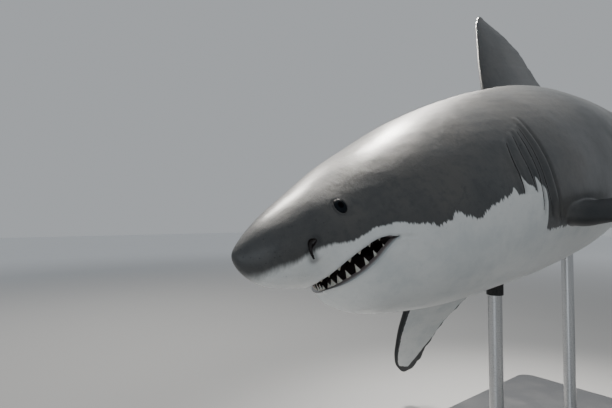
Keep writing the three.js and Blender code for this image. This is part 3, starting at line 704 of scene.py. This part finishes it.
# Bands of shade in the folds: how dark, how far out they run, and their reach.
LID_SHADE, LID_FOLD_SHADE = (0.5, 21.5, 3.5), (0.35, 24, 4)
SLIT_SHADE, FLAP_SHADE, LIP_SHADE = (0.7, 2, 7), (0.3, 12, 10), (0.3, 0, 7)
NOSTRIL_SHADE, NOSTRIL_EDGE, NOSTRIL_REACH = 0.7, 7, 8


def mark(mesh, name, values):
    """A number or a vector at each point of a mesh, for its finish to read."""
    kind, key = ("FLOAT", "value") if values.ndim == 1 else ("FLOAT_VECTOR", "vector")
    write(mesh.attributes.new(name, kind, "POINT").data, key, values)


write(hide.vertices, "co", points)
hide.update()
normals = read(hide.vertex_normals, "vector", 3, np.float32)
left = on_left(points)
grey = (points[:, 2] - curve_through(GREY_LINE)(points[:, 0])) / MM
softness = 1 + SNOUT_SOFTNESS * (1 - np.clip(points[:, 0] / SOFT_END, 0, 1)) ** 2
grey /= softness
black = AXIL_REACH[1] - np.linalg.norm((left - np.array(AXIL_SPOT)) / MM * (0.6, 1, 1), axis=1)
grey[touches((UPRIGHT,))] = UPRIGHT_GREY
paired = np.zeros(len(points))
anal = touches((ANAL,))
grey[anal] = ANAL_GREY + ANAL_PALING * (points[anal, 2] - belly_at(points[anal, 0]))
for (fin, side), zone in zip(SEATS, (PECTORALS, PECTORALS, PELVICS, PELVICS)):
    mine = touches((zone,)) & (points[:, 1] * side > 0)
    origin, chord, out, face = seat_frame(fin, side, np.array([OUTER_SPAN]))
    offset = points[mine] - origin
    span = offset @ out[0]
    upper = normals[mine] @ face[0] * np.sign(face[0, 2])
    if fin == "pectoral":
        leading, trailing = [curve_through([(row[0], row[k]) for row in PECTORAL])(span)
                             for k in (1, 2)]
        behind = (offset @ chord[0] - leading) / MM
        before = (trailing - offset @ chord[0]) / MM
        margin = np.maximum(LEADING_MARGIN - behind, curve_through(TRAILING_MARGIN)(span) - before)
        margin = np.maximum(margin, TIP_MARGIN - (PECTORAL[-1][0] - span) / MM)
        underneath = -UNDERSIDE_ONLY * upper
        black[mine] = np.where(span > BLACK_START, np.minimum(margin, underneath), NO_BLACK)
        edge_reach = curve_through(DARK_LEADING_EDGE)(span)
        upper = upper + EDGE_DARKNESS * bump(np.maximum(behind, 0), edge_reach)
    outside = np.abs(points[mine, 1]) - width_at_height(points[mine, 0], points[mine, 2])
    out_on_fin = np.maximum(span - MARK_START, outside - CLEAR_OF_BODY)
    blend = np.clip(out_on_fin / MARK_BLEND, 0, 1)
    grey[mine] = grey[mine] * (1 - blend) + FIN_GREY * np.tanh(3 * upper) * blend
    paired[mine] = blend

mouth_spots = touches((MOUTH,))
gum_depth = np.zeros(len(points))
x, y, z = points[mouth_spots].T
from_upper = np.abs(depth_behind_lip(x, y, upper_lip, upper_plan))
from_lower = np.abs(depth_behind_lip(x, y, lower_lip, lower_plan))
roof = z > (upper_lip(x) + lower_lip(x)) / 2
gum_depth[mouth_spots] = np.minimum(np.where(roof, from_upper, from_lower), 200)
# Painted shade round the eyes, nostrils, gill slits and lips, with the real scars in the same mark.
beside, ahead = beside_eye(left)
nostril_gap, _ = reach_of(left, NOSTRIL_PATH)
shade_and_scars = band(beside, *LID_SHADE) + ahead * band(beside, *LID_FOLD_SHADE)
shade_and_scars += NOSTRIL_SHADE * bump(np.maximum(nostril_gap - NOSTRIL_EDGE, 0), NOSTRIL_REACH)
for i in range(len(GILL_STATIONS)):
    line, rise = gill_line(i, left[:, 2])
    behind = (left[:, 0] - line) / MM
    fold = band(behind, *SLIT_SHADE) + band(behind, *FLAP_SHADE)
    shade_and_scars += min(GILL_WEIGHTS[i], 1) * np.sin(math.pi * rise) ** 0.4 * fold
for lip, plan in ((upper_lip, upper_plan), (lower_lip, lower_plan)):
    gap, _ = reach_of(left, np.column_stack([plan * (1, -1), lip(plan[:, 0])])[::6])
    shade_and_scars += band(gap, *LIP_SHADE)
for path in SCARS:
    gap, way = reach_of(points, path)
    shade_and_scars += bump(gap, SCAR_REACH) * np.sin(math.pi * np.clip(0.1 + 0.8 * way, 0, 1))
marks = {
    "grey": grey, "black": black, "ragged": curve_through(RAGGEDNESS)(points[:, 0]) / softness,
    "shade_and_scars": np.minimum(shade_and_scars, 1), "paired": paired,
    "mouth": mouth_spots.astype(float), "gum": gum_depth,
    "hollow": touches((HOLLOW,)).astype(float),
}
for name, values in marks.items():
    mark(hide, name, values)
mark(hide, "straight", points * PERCENT)


# ---------------------------------------------------------------------------------------------
# The pose: the head sinks and twists a little, the tail swings left, and the whole animal goes
# nose down and leans on its right side over the middle of the stand.

HEAD_SINK, HEAD_TWIST, HEAD_REACH = 0.45, math.radians(5.7), 14
TAIL_SWING, SWING_START, SWING_END = math.radians(14), 30, 95
NOSE_DOWN, LEAN_RIGHT = math.radians(11.0), math.radians(15.9)
BALANCE_X, BALANCE_HEIGHT = 38.2, 1.36


def posed(points):
    """Points of the straight animal in their swimming pose, in metres."""
    x, y, z = np.moveaxis(np.asarray(points, float), -1, 0)
    near_head = np.exp(-((np.maximum(x, 0) / HEAD_REACH) ** 2))
    twist = -HEAD_TWIST * near_head
    z = z - HEAD_SINK * near_head
    y, z = y * np.cos(twist) - z * np.sin(twist), y * np.sin(twist) + z * np.cos(twist)
    span = SWING_END - SWING_START
    along = np.clip((x - SWING_START) / span, 0, 1)
    heading = -TAIL_SWING * along ** 2
    beyond = np.maximum(x - SWING_END, 0)
    drift = heading * along * span / 3 + beyond * np.sin(heading)
    shortened = heading ** 2 * along * span / 10 + beyond * (1 - np.cos(heading))
    bent = [x - shortened - y * np.sin(heading), drift + y * np.cos(heading), z]
    return np.stack(bent, -1) * PERCENT


attitude = Matrix.Rotation(-NOSE_DOWN, 4, "Y") @ Matrix.Rotation(-LEAN_RIGHT, 4, "X")
balance = attitude @ Vector(posed([BALANCE_X, 0, 0]))
to_world = Matrix.Translation(Vector((0, 0, BALANCE_HEIGHT)) - balance) @ attitude


def in_world(points):
    turned = np.array(to_world)
    return posed(points) @ turned[:3, :3].T + turned[:3, 3]


write(hide.vertices, "co", in_world(points))
hide.attributes.remove(hide.attributes["zone"])
hide.update()
hide.shade_smooth()


# ---------------------------------------------------------------------------------------------
# Finish of the skin: slate with a fine grain, softly blotched and scratched, dotted with sensory
# pores on the snout, and under an uneven film of wet that the paired fins hardly have. The mouth
# is grey-pink at the gums and darkened further in by painted shade. The slits, nostrils and sockets
# are a red darkened nearly to black by painted shade, and painted shade darkens the folds round
# the eyes, nostrils, gill slits and lips.


class Wire:
    """One output in a material's node tree. Arithmetic on it adds Math nodes."""

    def __init__(self, tree, socket=None):
        self.tree, self.socket = tree, socket

    def node(self, kind, settings, sockets, output=0):
        new = self.tree.nodes.new("ShaderNode" + kind)
        for name, value in settings.items():
            setattr(new, name, value)
        for name, value in sockets.items():
            if isinstance(value, Wire):
                self.tree.links.new(value.socket, new.inputs[name])
            else:
                new.inputs[name].default_value = value
        return Wire(self.tree, new.outputs[output])

    def maths(self, operation, a, b):
        return self.node("Math", {"operation": operation}, {0: a, 1: b})

    def __add__(self, other):
        return self.maths("ADD", self, other)

    def __sub__(self, other):
        return self.maths("SUBTRACT", self, other)

    def __rsub__(self, other):
        return self.maths("SUBTRACT", other, self)

    def __mul__(self, other):
        return self.maths("MULTIPLY", self, other)

    __radd__, __rmul__ = __add__, __mul__

    def ramp(self, low, high):
        """0 below `low`, 1 above `high`, and a soft step between."""
        return self.node("MapRange", {"interpolation_type": "SMOOTHSTEP"},
                         {"Value": self, "From Min": low, "From Max": high})

    def blend(self, a, b):
        """From colour a to colour b as this value goes from 0 to 1."""
        a, b = [(*c, 1) if isinstance(c, tuple) else c for c in (a, b)]
        return self.node("Mix", {"data_type": "RGBA"}, {0: self, 6: a, 7: b}, 2)

    def scaled(self, by):
        return self.node("VectorMath", {"operation": "MULTIPLY"}, {0: self, 1: by})

    def noise(self, scale, detail=3.0, roughness=0.55):
        return self.node("TexNoise", {}, {"Vector": self, "Scale": scale, "Detail": detail,
                                          "Roughness": roughness})

    def attribute(self, name, vector=False):
        return self.node("Attribute", {"attribute_name": name}, {}, 1 if vector else 2)

    def place(self):
        """A piece's own coordinates, in metres."""
        return self.node("TexCoord", {}, {}, 3)

    def bump(self, height, distance, under=None):
        sockets = {"Height": height, "Distance": distance}
        if under:
            sockets["Normal"] = under
        return self.node("Bump", {}, sockets)


def new_finish(name, **constants):
    """A material and its shader, with the constants set on the shader's own sockets."""
    material = bpy.data.materials.new(name)
    material.use_nodes = True
    shader = material.node_tree.nodes["Principled BSDF"]
    for key, value in constants.items():
        shader.inputs[key.replace("_", " ")].default_value = value
    return material, shader, Wire(material.node_tree)


def feed(tree, shader, **wires):
    for key, wire in wires.items():
        tree.links.new(wire.socket, shader.inputs[key.replace("_", " ")])


SLATE, SLATE_WARM, SLATE_DEEP = (0.059, 0.064, 0.068), (0.084, 0.081, 0.076), (0.033, 0.037, 0.041)
WHITE, WHITE_SHADE, BLACK = (0.74, 0.76, 0.75), (0.56, 0.6, 0.61), (0.018, 0.02, 0.023)
# Deep in the mouth and inside the hollows the colours are darkened nearly to black as painted shade.
GUM, GULLET_SHADE, HOLLOW_RED_AND_SHADE = (0.19, 0.165, 0.165), (0.06, 0.045, 0.045), (0.009, 0.006, 0.006)
COMB_MARK, GRAIN_GREY = (0.133, 0.137, 0.135), (0.112, 0.116, 0.116)
# The darkest grey serves both the painted shade in the folds and the scars.
PORE, SHADE_AND_SCAR_TONE = (0.02, 0.022, 0.024), (0.016, 0.017, 0.019)

material, shader, wire = new_finish("shark_hide", IOR=1.33, Coat_IOR=1.33, Coat_Roughness=0.3)
straight = wire.attribute("straight", vector=True)
ragged_by = wire.attribute("ragged")
blotches = straight.noise(7, 5, 0.6)
patches = straight.noise(2.2, 2)
streaks = straight.scaled((75, 30, 11)).noise(1, 4, 0.6)
combed = straight.scaled((170, 40, 14)).noise(1, 2, 0.5)
mottles = straight.noise(38, 4, 0.65)
grain = straight.noise(900, 2, 0.6)
wander = (streaks - 0.5) * 2.0 + (combed - 0.5) * 2.2 + (straight.noise(14, 3) - 0.5) * 1.2
edge = wire.attribute("grey") + wander * ragged_by
is_grey = edge.ramp(-3.5, 3.5)

slate = patches.ramp(0.35, 0.65).blend(SLATE, SLATE_WARM)
slate = (blotches.ramp(0.42, 0.72) * 0.7).blend(slate, SLATE_DEEP)
slate = (mottles.ramp(0.46, 0.7) * 0.55).blend(slate, SLATE_DEEP)
slate = (mottles.ramp(0.42, 0.25) * 0.5).blend(slate, SLATE_WARM)
slate = (combed.ramp(0.64, 0.8) * 0.12).blend(slate, COMB_MARK)
slate = (edge.ramp(60, 0) * 0.35).blend(slate, SLATE_DEEP)
slate = (grain.ramp(0.35, 0.7) * 0.3).blend(slate, GRAIN_GREY)
on_fin = wire.attribute("paired")
slate = (on_fin * 0.75).blend(slate, SLATE_DEEP)
pores = straight.node("TexVoronoi", {"feature": "F1"},
                      {"Vector": straight, "Scale": 62, "Randomness": 1})
on_snout = straight.node("SeparateXYZ", {}, {0: straight}, 0).ramp(0.36, 0.16)
pore = pores.ramp(0.13, 0.09) * on_snout * blotches.ramp(0.4, 0.55)
slate = (pore * 0.8).blend(slate, PORE)

white = (blotches.ramp(0.4, 0.7) * 0.6).blend(WHITE, WHITE_SHADE)
white = (mottles.ramp(0.5, 0.75) * 0.3).blend(white, WHITE_SHADE)
freckles = straight.noise(120, 3, 0.7).ramp(0.66, 0.74) * edge.ramp(-70, -5)
white = (freckles * 0.45).blend(white, SLATE)
colour = is_grey.blend(white, slate)
black_edge = wire.attribute("black") + (streaks - 0.5) * 14 + (blotches - 0.5) * 12
colour = black_edge.ramp(-4, 4).blend(colour, BLACK)
# Painted shade darkens the folds round the eyes, nostrils, gill slits and lips; the scars use the same
# dark.
colour = (wire.attribute("shade_and_scars") * 0.8).blend(colour, SHADE_AND_SCAR_TONE)
into_mouth = wire.attribute("gum")
lining = into_mouth.ramp(4, 12).blend(WHITE_SHADE, GUM)
# Further into the mouth the lining darkens to near black: painted shade.
lining = into_mouth.ramp(22, 44).blend(lining, GULLET_SHADE)
in_mouth = wire.attribute("mouth").ramp(0.45, 0.8)
colour = in_mouth.blend(colour, lining)
# Inside the gill slits, nostrils and eye sockets a trace of red is darkened nearly to black as painted
# shade.
in_hollow = wire.attribute("hollow").ramp(0.3, 0.9)
colour = in_hollow.blend(colour, HOLLOW_RED_AND_SHADE)

roughness = 0.46 + (blotches - 0.5) * 0.25 + (grain - 0.5) * 0.12
roughness = roughness - in_mouth * 0.2 + on_fin * 0.2
relief_normal = wire.bump(grain, 0.0005)
relief_normal = wire.bump(mottles * 0.7 + streaks * 0.3, 0.0026, relief_normal)
relief_normal = wire.bump(1 - pore, 0.0012, relief_normal)
wet = 0.35 + patches.ramp(0.3, 0.7) * 0.35 + blotches.ramp(0.35, 0.65) * 0.3
wet = wet * (1 - on_fin * 0.85)
feed(material.node_tree, shader, Base_Color=colour, Roughness=roughness, Coat_Weight=wet,
     Normal=relief_normal)
hide.materials.clear()
hide.materials.append(material)

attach(skin, "root")
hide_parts(*[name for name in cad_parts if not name.startswith(("stand_", "eye_"))])


# ---------------------------------------------------------------------------------------------
# Teeth: flat triangles of enamel with saw edges, broad in the upper jaw and narrower in the
# lower, rooted in the gum behind each lip and smaller towards the mouth's corners.

TOOTH_COUNT = 8
TOOTH_WIDTH, TOOTH_THICKNESS, TOOTH_ROOT = 42.0, 10.0, 8.0
TOOTHLESS_CORNER, TOOTH_SHRINK, TOOTH_RAKE = 1.0, 0.5, 0.35
FRONT_TOOTH, CROWN_GROWTH, LEAST_TOOTH = 0.55, 2.2, 0.45
SAW_TEETH, SAW_DEPTH, SAW_START = 15, 0.028, 0.25


def lip_point(lip, plan, t):
    """A point of a lip's edge, from the middle in front (0) to the corner (1)."""
    x = plan[0, 0] + (MOUTH_CORNER[0] - plan[0, 0]) * (1 - math.cos(t * math.pi / 2))
    z = float(lip(x))
    return np.array([x, float(width_at_height(x, z)), z])


def gape_at(x):
    """Millimetres between the lips."""
    return float(upper_lip(x) - lower_lip(x)) / MM


def tooth(name, lip, plan, i, side, up, inset, shown, narrow, lean):
    """`shown` is how much of the gape the tooth fills, and `lean` tips it inwards."""
    t = (i + 0.5) / (TOOTH_COUNT + TOOTHLESS_CORNER)
    size = 1 - TOOTH_SHRINK * (i / TOOTH_COUNT) ** 1.3
    along = (lip_point(lip, plan, t + 0.01) - lip_point(lip, plan, t - 0.01)) * (1, 1, 0)
    along /= np.linalg.norm(along)
    inward = np.array([along[1], -along[0], 0])
    crown = shown * gape_at(lip_point(lip, plan, t)[0]) * min(1, FRONT_TOOTH + CROWN_GROWTH * t)
    size *= min(1, LEAST_TOOTH + crown / TOOTH_WIDTH)
    rise = np.linspace(0, 0.985, 46)[:, None]
    saw = SAW_DEPTH * np.abs((rise * SAW_TEETH) % 1 - 0.5) * (rise > SAW_START)
    half = ((1 - rise) ** narrow + saw) / 2 * TOOTH_WIDTH * size
    turn = np.linspace(0, 2 * math.pi, 20, endpoint=False)[None, :]
    reach = half * np.cos(turn)
    plump = TOOTH_THICKNESS * size / 2 * (1 - rise) ** 0.8 * np.abs(np.sin(turn)) ** 1.3
    lie = inset + plump * np.sign(np.sin(turn)) + lean * rise * crown
    height = rise * (crown + TOOTH_ROOT) - TOOTH_ROOT + 0 * turn
    points = lip_point(lip, plan, t) + (reach[..., None] * along + lie[..., None] * inward) * MM
    points[..., 2] += up * height * MM
    points[..., 0] -= TOOTH_RAKE * (t * height) * MM
    points[..., 1] *= side
    return closed_tube(name, in_world(points))


material, shader, wire = new_finish(
    "tooth_enamel", Coat_Weight=0.5, Coat_Roughness=0.12, Subsurface_Weight=0.1)
place = wire.place()
stain = place.noise(90, 4)
ivory = stain.ramp(0.35, 0.7).blend((0.6, 0.58, 0.52), (0.44, 0.4, 0.32))
ridges = place.scaled((900, 900, 120)).noise(1, 2)
feed(material.node_tree, shader, Base_Color=ivory, Roughness=0.26 + (stain - 0.5) * 0.15,
     Normal=wire.bump(ridges, 0.0003))

jaws = [("teeth_upper", upper_lip, upper_plan, -1, 18.0, 0.12, 0.95, 0.1),
        ("teeth_lower", lower_lip, lower_plan, 1, 21.0, 0.6, 1.1, -0.05)]
for name, lip, plan, up, inset, shown, narrow, lean in jaws:
    row = [tooth(name, lip, plan, i, side, up, inset, shown, narrow, lean)
           for i in range(TOOTH_COUNT) for side in (-1, 1)]
    teeth = gather(row)
    teeth.data.materials.append(material)
    teeth.data.shade_smooth()
    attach(teeth, "root")


# ---------------------------------------------------------------------------------------------
# Eyes: a black ball with a blue-black iris round a wide pupil and the cornea bulging a little in
# front, set in its socket for most of its depth and held there by the skin.

PUPIL_MM, IRIS_MM, BEHIND_MM = 9.0, 17.5, 99
CORNEA_RISE, CORNEA_REACH = 0.0005, 0.017

material, shader, wire = new_finish("eye_surface", Roughness=0.34, Specular_IOR_Level=0.02)
off_axis = wire.attribute("off_axis")
fibres = wire.attribute("fibre").noise(1, 3)
iris = (fibres.ramp(0.35, 0.7)).blend((0.006, 0.008, 0.01), (0.013, 0.016, 0.02))
ball_colour = off_axis.ramp(IRIS_MM, IRIS_MM + 2.5).blend(iris, (0.022, 0.021, 0.021))
ball_colour = off_axis.ramp(PUPIL_MM + 0.8, PUPIL_MM - 0.8).blend(ball_colour, (0.002, 0.002, 0.003))
feed(material.node_tree, shader, Base_Color=ball_colour)

for name, side in (("eye_left", -1), ("eye_right", 1)):
    low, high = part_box(name)
    centre = (low + high) / 2
    ahead = Vector(in_world(eye_spot * (1, -side, 1))) - centre
    turned = ahead.to_track_quat("Z", "X").to_matrix()
    eyeball = ball(name + "_ball", (0, 0, 0), EYE_RADIUS / 1000, steps=72)
    spots = vertices_of(eyeball.data)
    beside = np.hypot(spots[:, 0], spots[:, 1])
    front = spots[:, 2] > 0
    spots[:, 2] += front * CORNEA_RISE * bump(beside, CORNEA_REACH)
    spin = np.arctan2(spots[:, 1], spots[:, 0])
    fibre = np.stack([np.cos(spin) * 14, np.sin(spin) * 14, beside * 120], 1)
    mark(eyeball.data, "off_axis", np.where(front, beside * 1000, BEHIND_MM))
    mark(eyeball.data, "fibre", fibre)
    axes = np.array(attitude)[:3, :3]
    oval = axes @ np.diag(EYE_OVAL) @ axes.T
    settled = spots @ np.array(turned).T @ oval + np.array(centre)
    write(eyeball.data.vertices, "co", settled)
    eyeball.data.update()
    eyeball.data.shade_smooth()
    eyeball.data.materials.append(material)
    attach(eyeball, "root")
    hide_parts(name)


# ---------------------------------------------------------------------------------------------
# Stand: a steel plate with rounded corners and eased edges under dark powder coat, and two brushed
# steel rods, each with a foot flange held by four socket screws and a rubber pad under the belly.

CORNER_RADIUS, EASED_EDGE, SHARP_FROM = 0.09, 0.004, math.radians(35)
ROD_RADIUS, FLANGE_RADIUS, FLANGE_THICKNESS = 0.030, 0.080, 0.014
SCREW_CIRCLE, SCREW_RADIUS, SCREW_HEIGHT, SCREW_SOCKET = 0.056, 0.0085, 0.008, 0.0045
PAD_HEIGHT, PAD_SLEEVE, PAD_PROUD, PAD_GAP = 0.065, 0.02, 0.006, 0.0008


def plate_ring(half_x, half_y, radius, z):
    turn = np.linspace(0, 2 * math.pi, 97)[:-1] + math.pi / 96
    x = np.sign(np.cos(turn)) * (half_x - radius) + radius * np.cos(turn)
    y = np.sign(np.sin(turn)) * (half_y - radius) + radius * np.sin(turn)
    return np.stack([x, y, np.full_like(x, z)], -1)


def circle(centre, radius, z, sides=96):
    turn = np.linspace(0, 2 * math.pi, sides, endpoint=False)
    x, y = centre[0] + radius * np.cos(turn), centre[1] + radius * np.sin(turn)
    return np.stack([x, y, np.full_like(x, z)], -1)


def lathe(name, profile, centre, sides=96):
    return closed_tube(name, np.array([circle(centre, r, z, sides) for r, z in profile]))


def dress(piece, material, slot, *nodes):
    piece.data.shade_smooth()
    piece.data.set_sharp_from_angle(angle=SHARP_FROM)
    piece.data.materials.append(material)
    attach(piece, "root")
    if nodes:
        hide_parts(*nodes)


material, shader, wire = new_finish("powder_coat", Metallic=0.0, Coat_Weight=0.08)
place = wire.place()
orange_peel = place.noise(420, 2)
dust = place.noise(5, 5)
coat = dust.ramp(0.4, 0.75).blend((0.052, 0.055, 0.06), (0.075, 0.078, 0.082))
feed(material.node_tree, shader, Base_Color=coat, Roughness=0.42 + (dust - 0.5) * 0.3,
     Normal=wire.bump(orange_peel, 0.0004))

low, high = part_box("stand_base")
edge_steps = np.linspace(0, math.pi / 2, 6)
inset_rise = [(EASED_EDGE * (1 - math.sin(a)), EASED_EDGE * (1 - math.cos(a))) for a in edge_steps]
profile = [(inset, low.z + rise) for inset, rise in inset_rise]
profile += [(inset, high.z - rise) for inset, rise in reversed(inset_rise)]
rings = [plate_ring(high.x - inset, high.y - inset, CORNER_RADIUS - inset, z) for inset, z in profile]
dress(closed_tube("stand_plate", np.array(rings)), material, "stand_paint", "stand_base")

steel, shader, wire = new_finish("brushed_steel", Metallic=1.0)
place = wire.place()
brushing = place.scaled((60, 60, 2400)).noise(1, 3, 0.7)
tint = brushing.ramp(0.3, 0.7).blend((0.5, 0.51, 0.52), (0.62, 0.62, 0.62))
feed(steel.node_tree, shader, Base_Color=tint, Roughness=0.3 + (brushing - 0.5) * 0.25,
     Normal=wire.bump(brushing, 0.0001))
rubber, shader, wire = new_finish("pad_rubber", Specular_IOR_Level=0.3)
place = wire.place()
scuffs = place.noise(160, 4)
grime = scuffs.ramp(0.4, 0.8).blend((0.02, 0.02, 0.021), (0.05, 0.05, 0.05))
feed(rubber.node_tree, shader, Base_Color=grime, Roughness=0.7 + (scuffs - 0.5) * 0.3,
     Normal=wire.bump(scuffs, 0.0004))

underside = BVHTree.FromObject(skin, bpy.context.evaluated_depsgraph_get())


def belly_over(x, y):
    return underside.ray_cast(Vector((x, y, high.z)), Vector((0, 0, 1)))[0].z


for name in ("stand_rod_front", "stand_rod_rear"):
    foot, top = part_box(name)
    centre = ((foot.x + top.x) / 2, (foot.y + top.y) / 2)
    z = foot.z
    tip = top.z - PAD_HEIGHT
    flange_top = z + FLANGE_THICKNESS
    profile = [(FLANGE_RADIUS - 0.0015, z), (FLANGE_RADIUS, z + 0.0015),
               (FLANGE_RADIUS, flange_top - 0.003), (FLANGE_RADIUS - 0.003, flange_top),
               (ROD_RADIUS + 0.008, flange_top), (ROD_RADIUS + 0.0022, flange_top + 0.0024),
               (ROD_RADIUS, flange_top + 0.009), (ROD_RADIUS, tip)]
    dress(lathe(name + "_tube", profile, centre), steel, "stand_steel", name)

    pad_radius = ROD_RADIUS + PAD_PROUD
    rings = [circle(centre, ROD_RADIUS + 0.0005, tip - PAD_SLEEVE),
             circle(centre, pad_radius, tip - PAD_SLEEVE + 0.002), circle(centre, pad_radius, tip)]
    for radius in (pad_radius, ROD_RADIUS / 2):
        under_belly = [(x, y, belly_over(x, y) - PAD_GAP) for x, y, _ in circle(centre, radius, 0)]
        rings.append(np.array(under_belly))
    dress(closed_tube(name + "_pad", np.array(rings)), rubber, "stand_paint")

    screws = []
    for i in range(4):
        angle = math.pi / 4 + i * math.pi / 2
        at = (centre[0] + SCREW_CIRCLE * math.cos(angle), centre[1] + SCREW_CIRCLE * math.sin(angle))
        head = flange_top + SCREW_HEIGHT
        profile = [(SCREW_RADIUS, flange_top), (SCREW_RADIUS, head - 0.001),
                   (SCREW_RADIUS - 0.001, head), (SCREW_SOCKET, head), (SCREW_SOCKET, head - 0.004),
                   (SCREW_SOCKET * 0.3, head - 0.004)]
        screws.append(lathe(name + "_screws", profile, at, 36))
    dress(gather(screws), steel, "stand_steel")


# ---------------------------------------------------------------------------------------------
# Floor and light: a plain pale studio floor, a broad warm light high behind the animal's right
# side, a narrow one over its back and a weak cool fill, so the back is bright and the near flank
# is in shade. The camera is low on the animal's left, just ahead of the snout.

CAMERA_PLACE = (-2.1589, -0.9936, 1.1494)
CAMERA_HEADING, CAMERA_TILT = math.radians(52.367), math.radians(2.007)
LENS_MM = 24.68


def area_light(name, place, target, size, watts, colour, spread=180):
    light = bpy.data.lights.new(name, "AREA")
    light.size, light.energy, light.color = size, watts, colour
    light.spread = math.radians(spread)
    lamp = placed(name, light)
    lamp.location = place
    lamp.rotation_euler = (Vector(target) - Vector(place)).to_track_quat("-Z", "Y").to_euler()


area_light("key", (-1.0, 3.7, 5.35), (-0.8, 0, 1.5), 1.2, 400, (1.0, 0.95, 0.88))
area_light("back", (0.9, 2.1, 5.2), (0.2, 0.1, 1.4), 0.8, 60, (1.0, 0.95, 0.88), 45)
area_light("fill", (-5.5, -1.5, 1.4), (-0.8, 0, 1.2), 2.5, 25, (0.85, 0.93, 1.0))

world = bpy.data.worlds.new("studio")
world.use_nodes = True
world.node_tree.nodes["Background"].inputs["Color"].default_value = (0.80, 0.84, 0.88, 1)
world.node_tree.nodes["Background"].inputs["Strength"].default_value = 0.5
bpy.context.scene.world = world

material, shader, wire = new_finish("studio_floor", Roughness=0.8)
place = wire.place()
way_off = place.node("VectorMath", {"operation": "LENGTH"}, {0: place}, 1)
swept = way_off.ramp(3, 14).blend((0.3, 0.305, 0.31), (0.9, 0.91, 0.92))
feed(material.node_tree, shader, Base_Color=(place.noise(1.5, 3) * 0.08).blend(swept, (0.4, 0.4, 0.4)))
floor_mesh = bpy.data.meshes.new("floor")
floor_mesh.from_pydata([(-30, -30, 0), (30, -30, 0), (30, 30, 0), (-30, 30, 0)], [], [(0, 1, 2, 3)])
floor_mesh.materials.append(material)
placed("floor", floor_mesh)

lens = bpy.data.cameras.new("camera")
lens.lens, lens.sensor_width = LENS_MM, 36
lens.clip_start = 0.01
camera = placed("camera", lens)
camera.location = CAMERA_PLACE
camera.rotation_euler = (math.pi / 2 + CAMERA_TILT, 0, CAMERA_HEADING - math.pi / 2)
bpy.context.scene.camera = camera
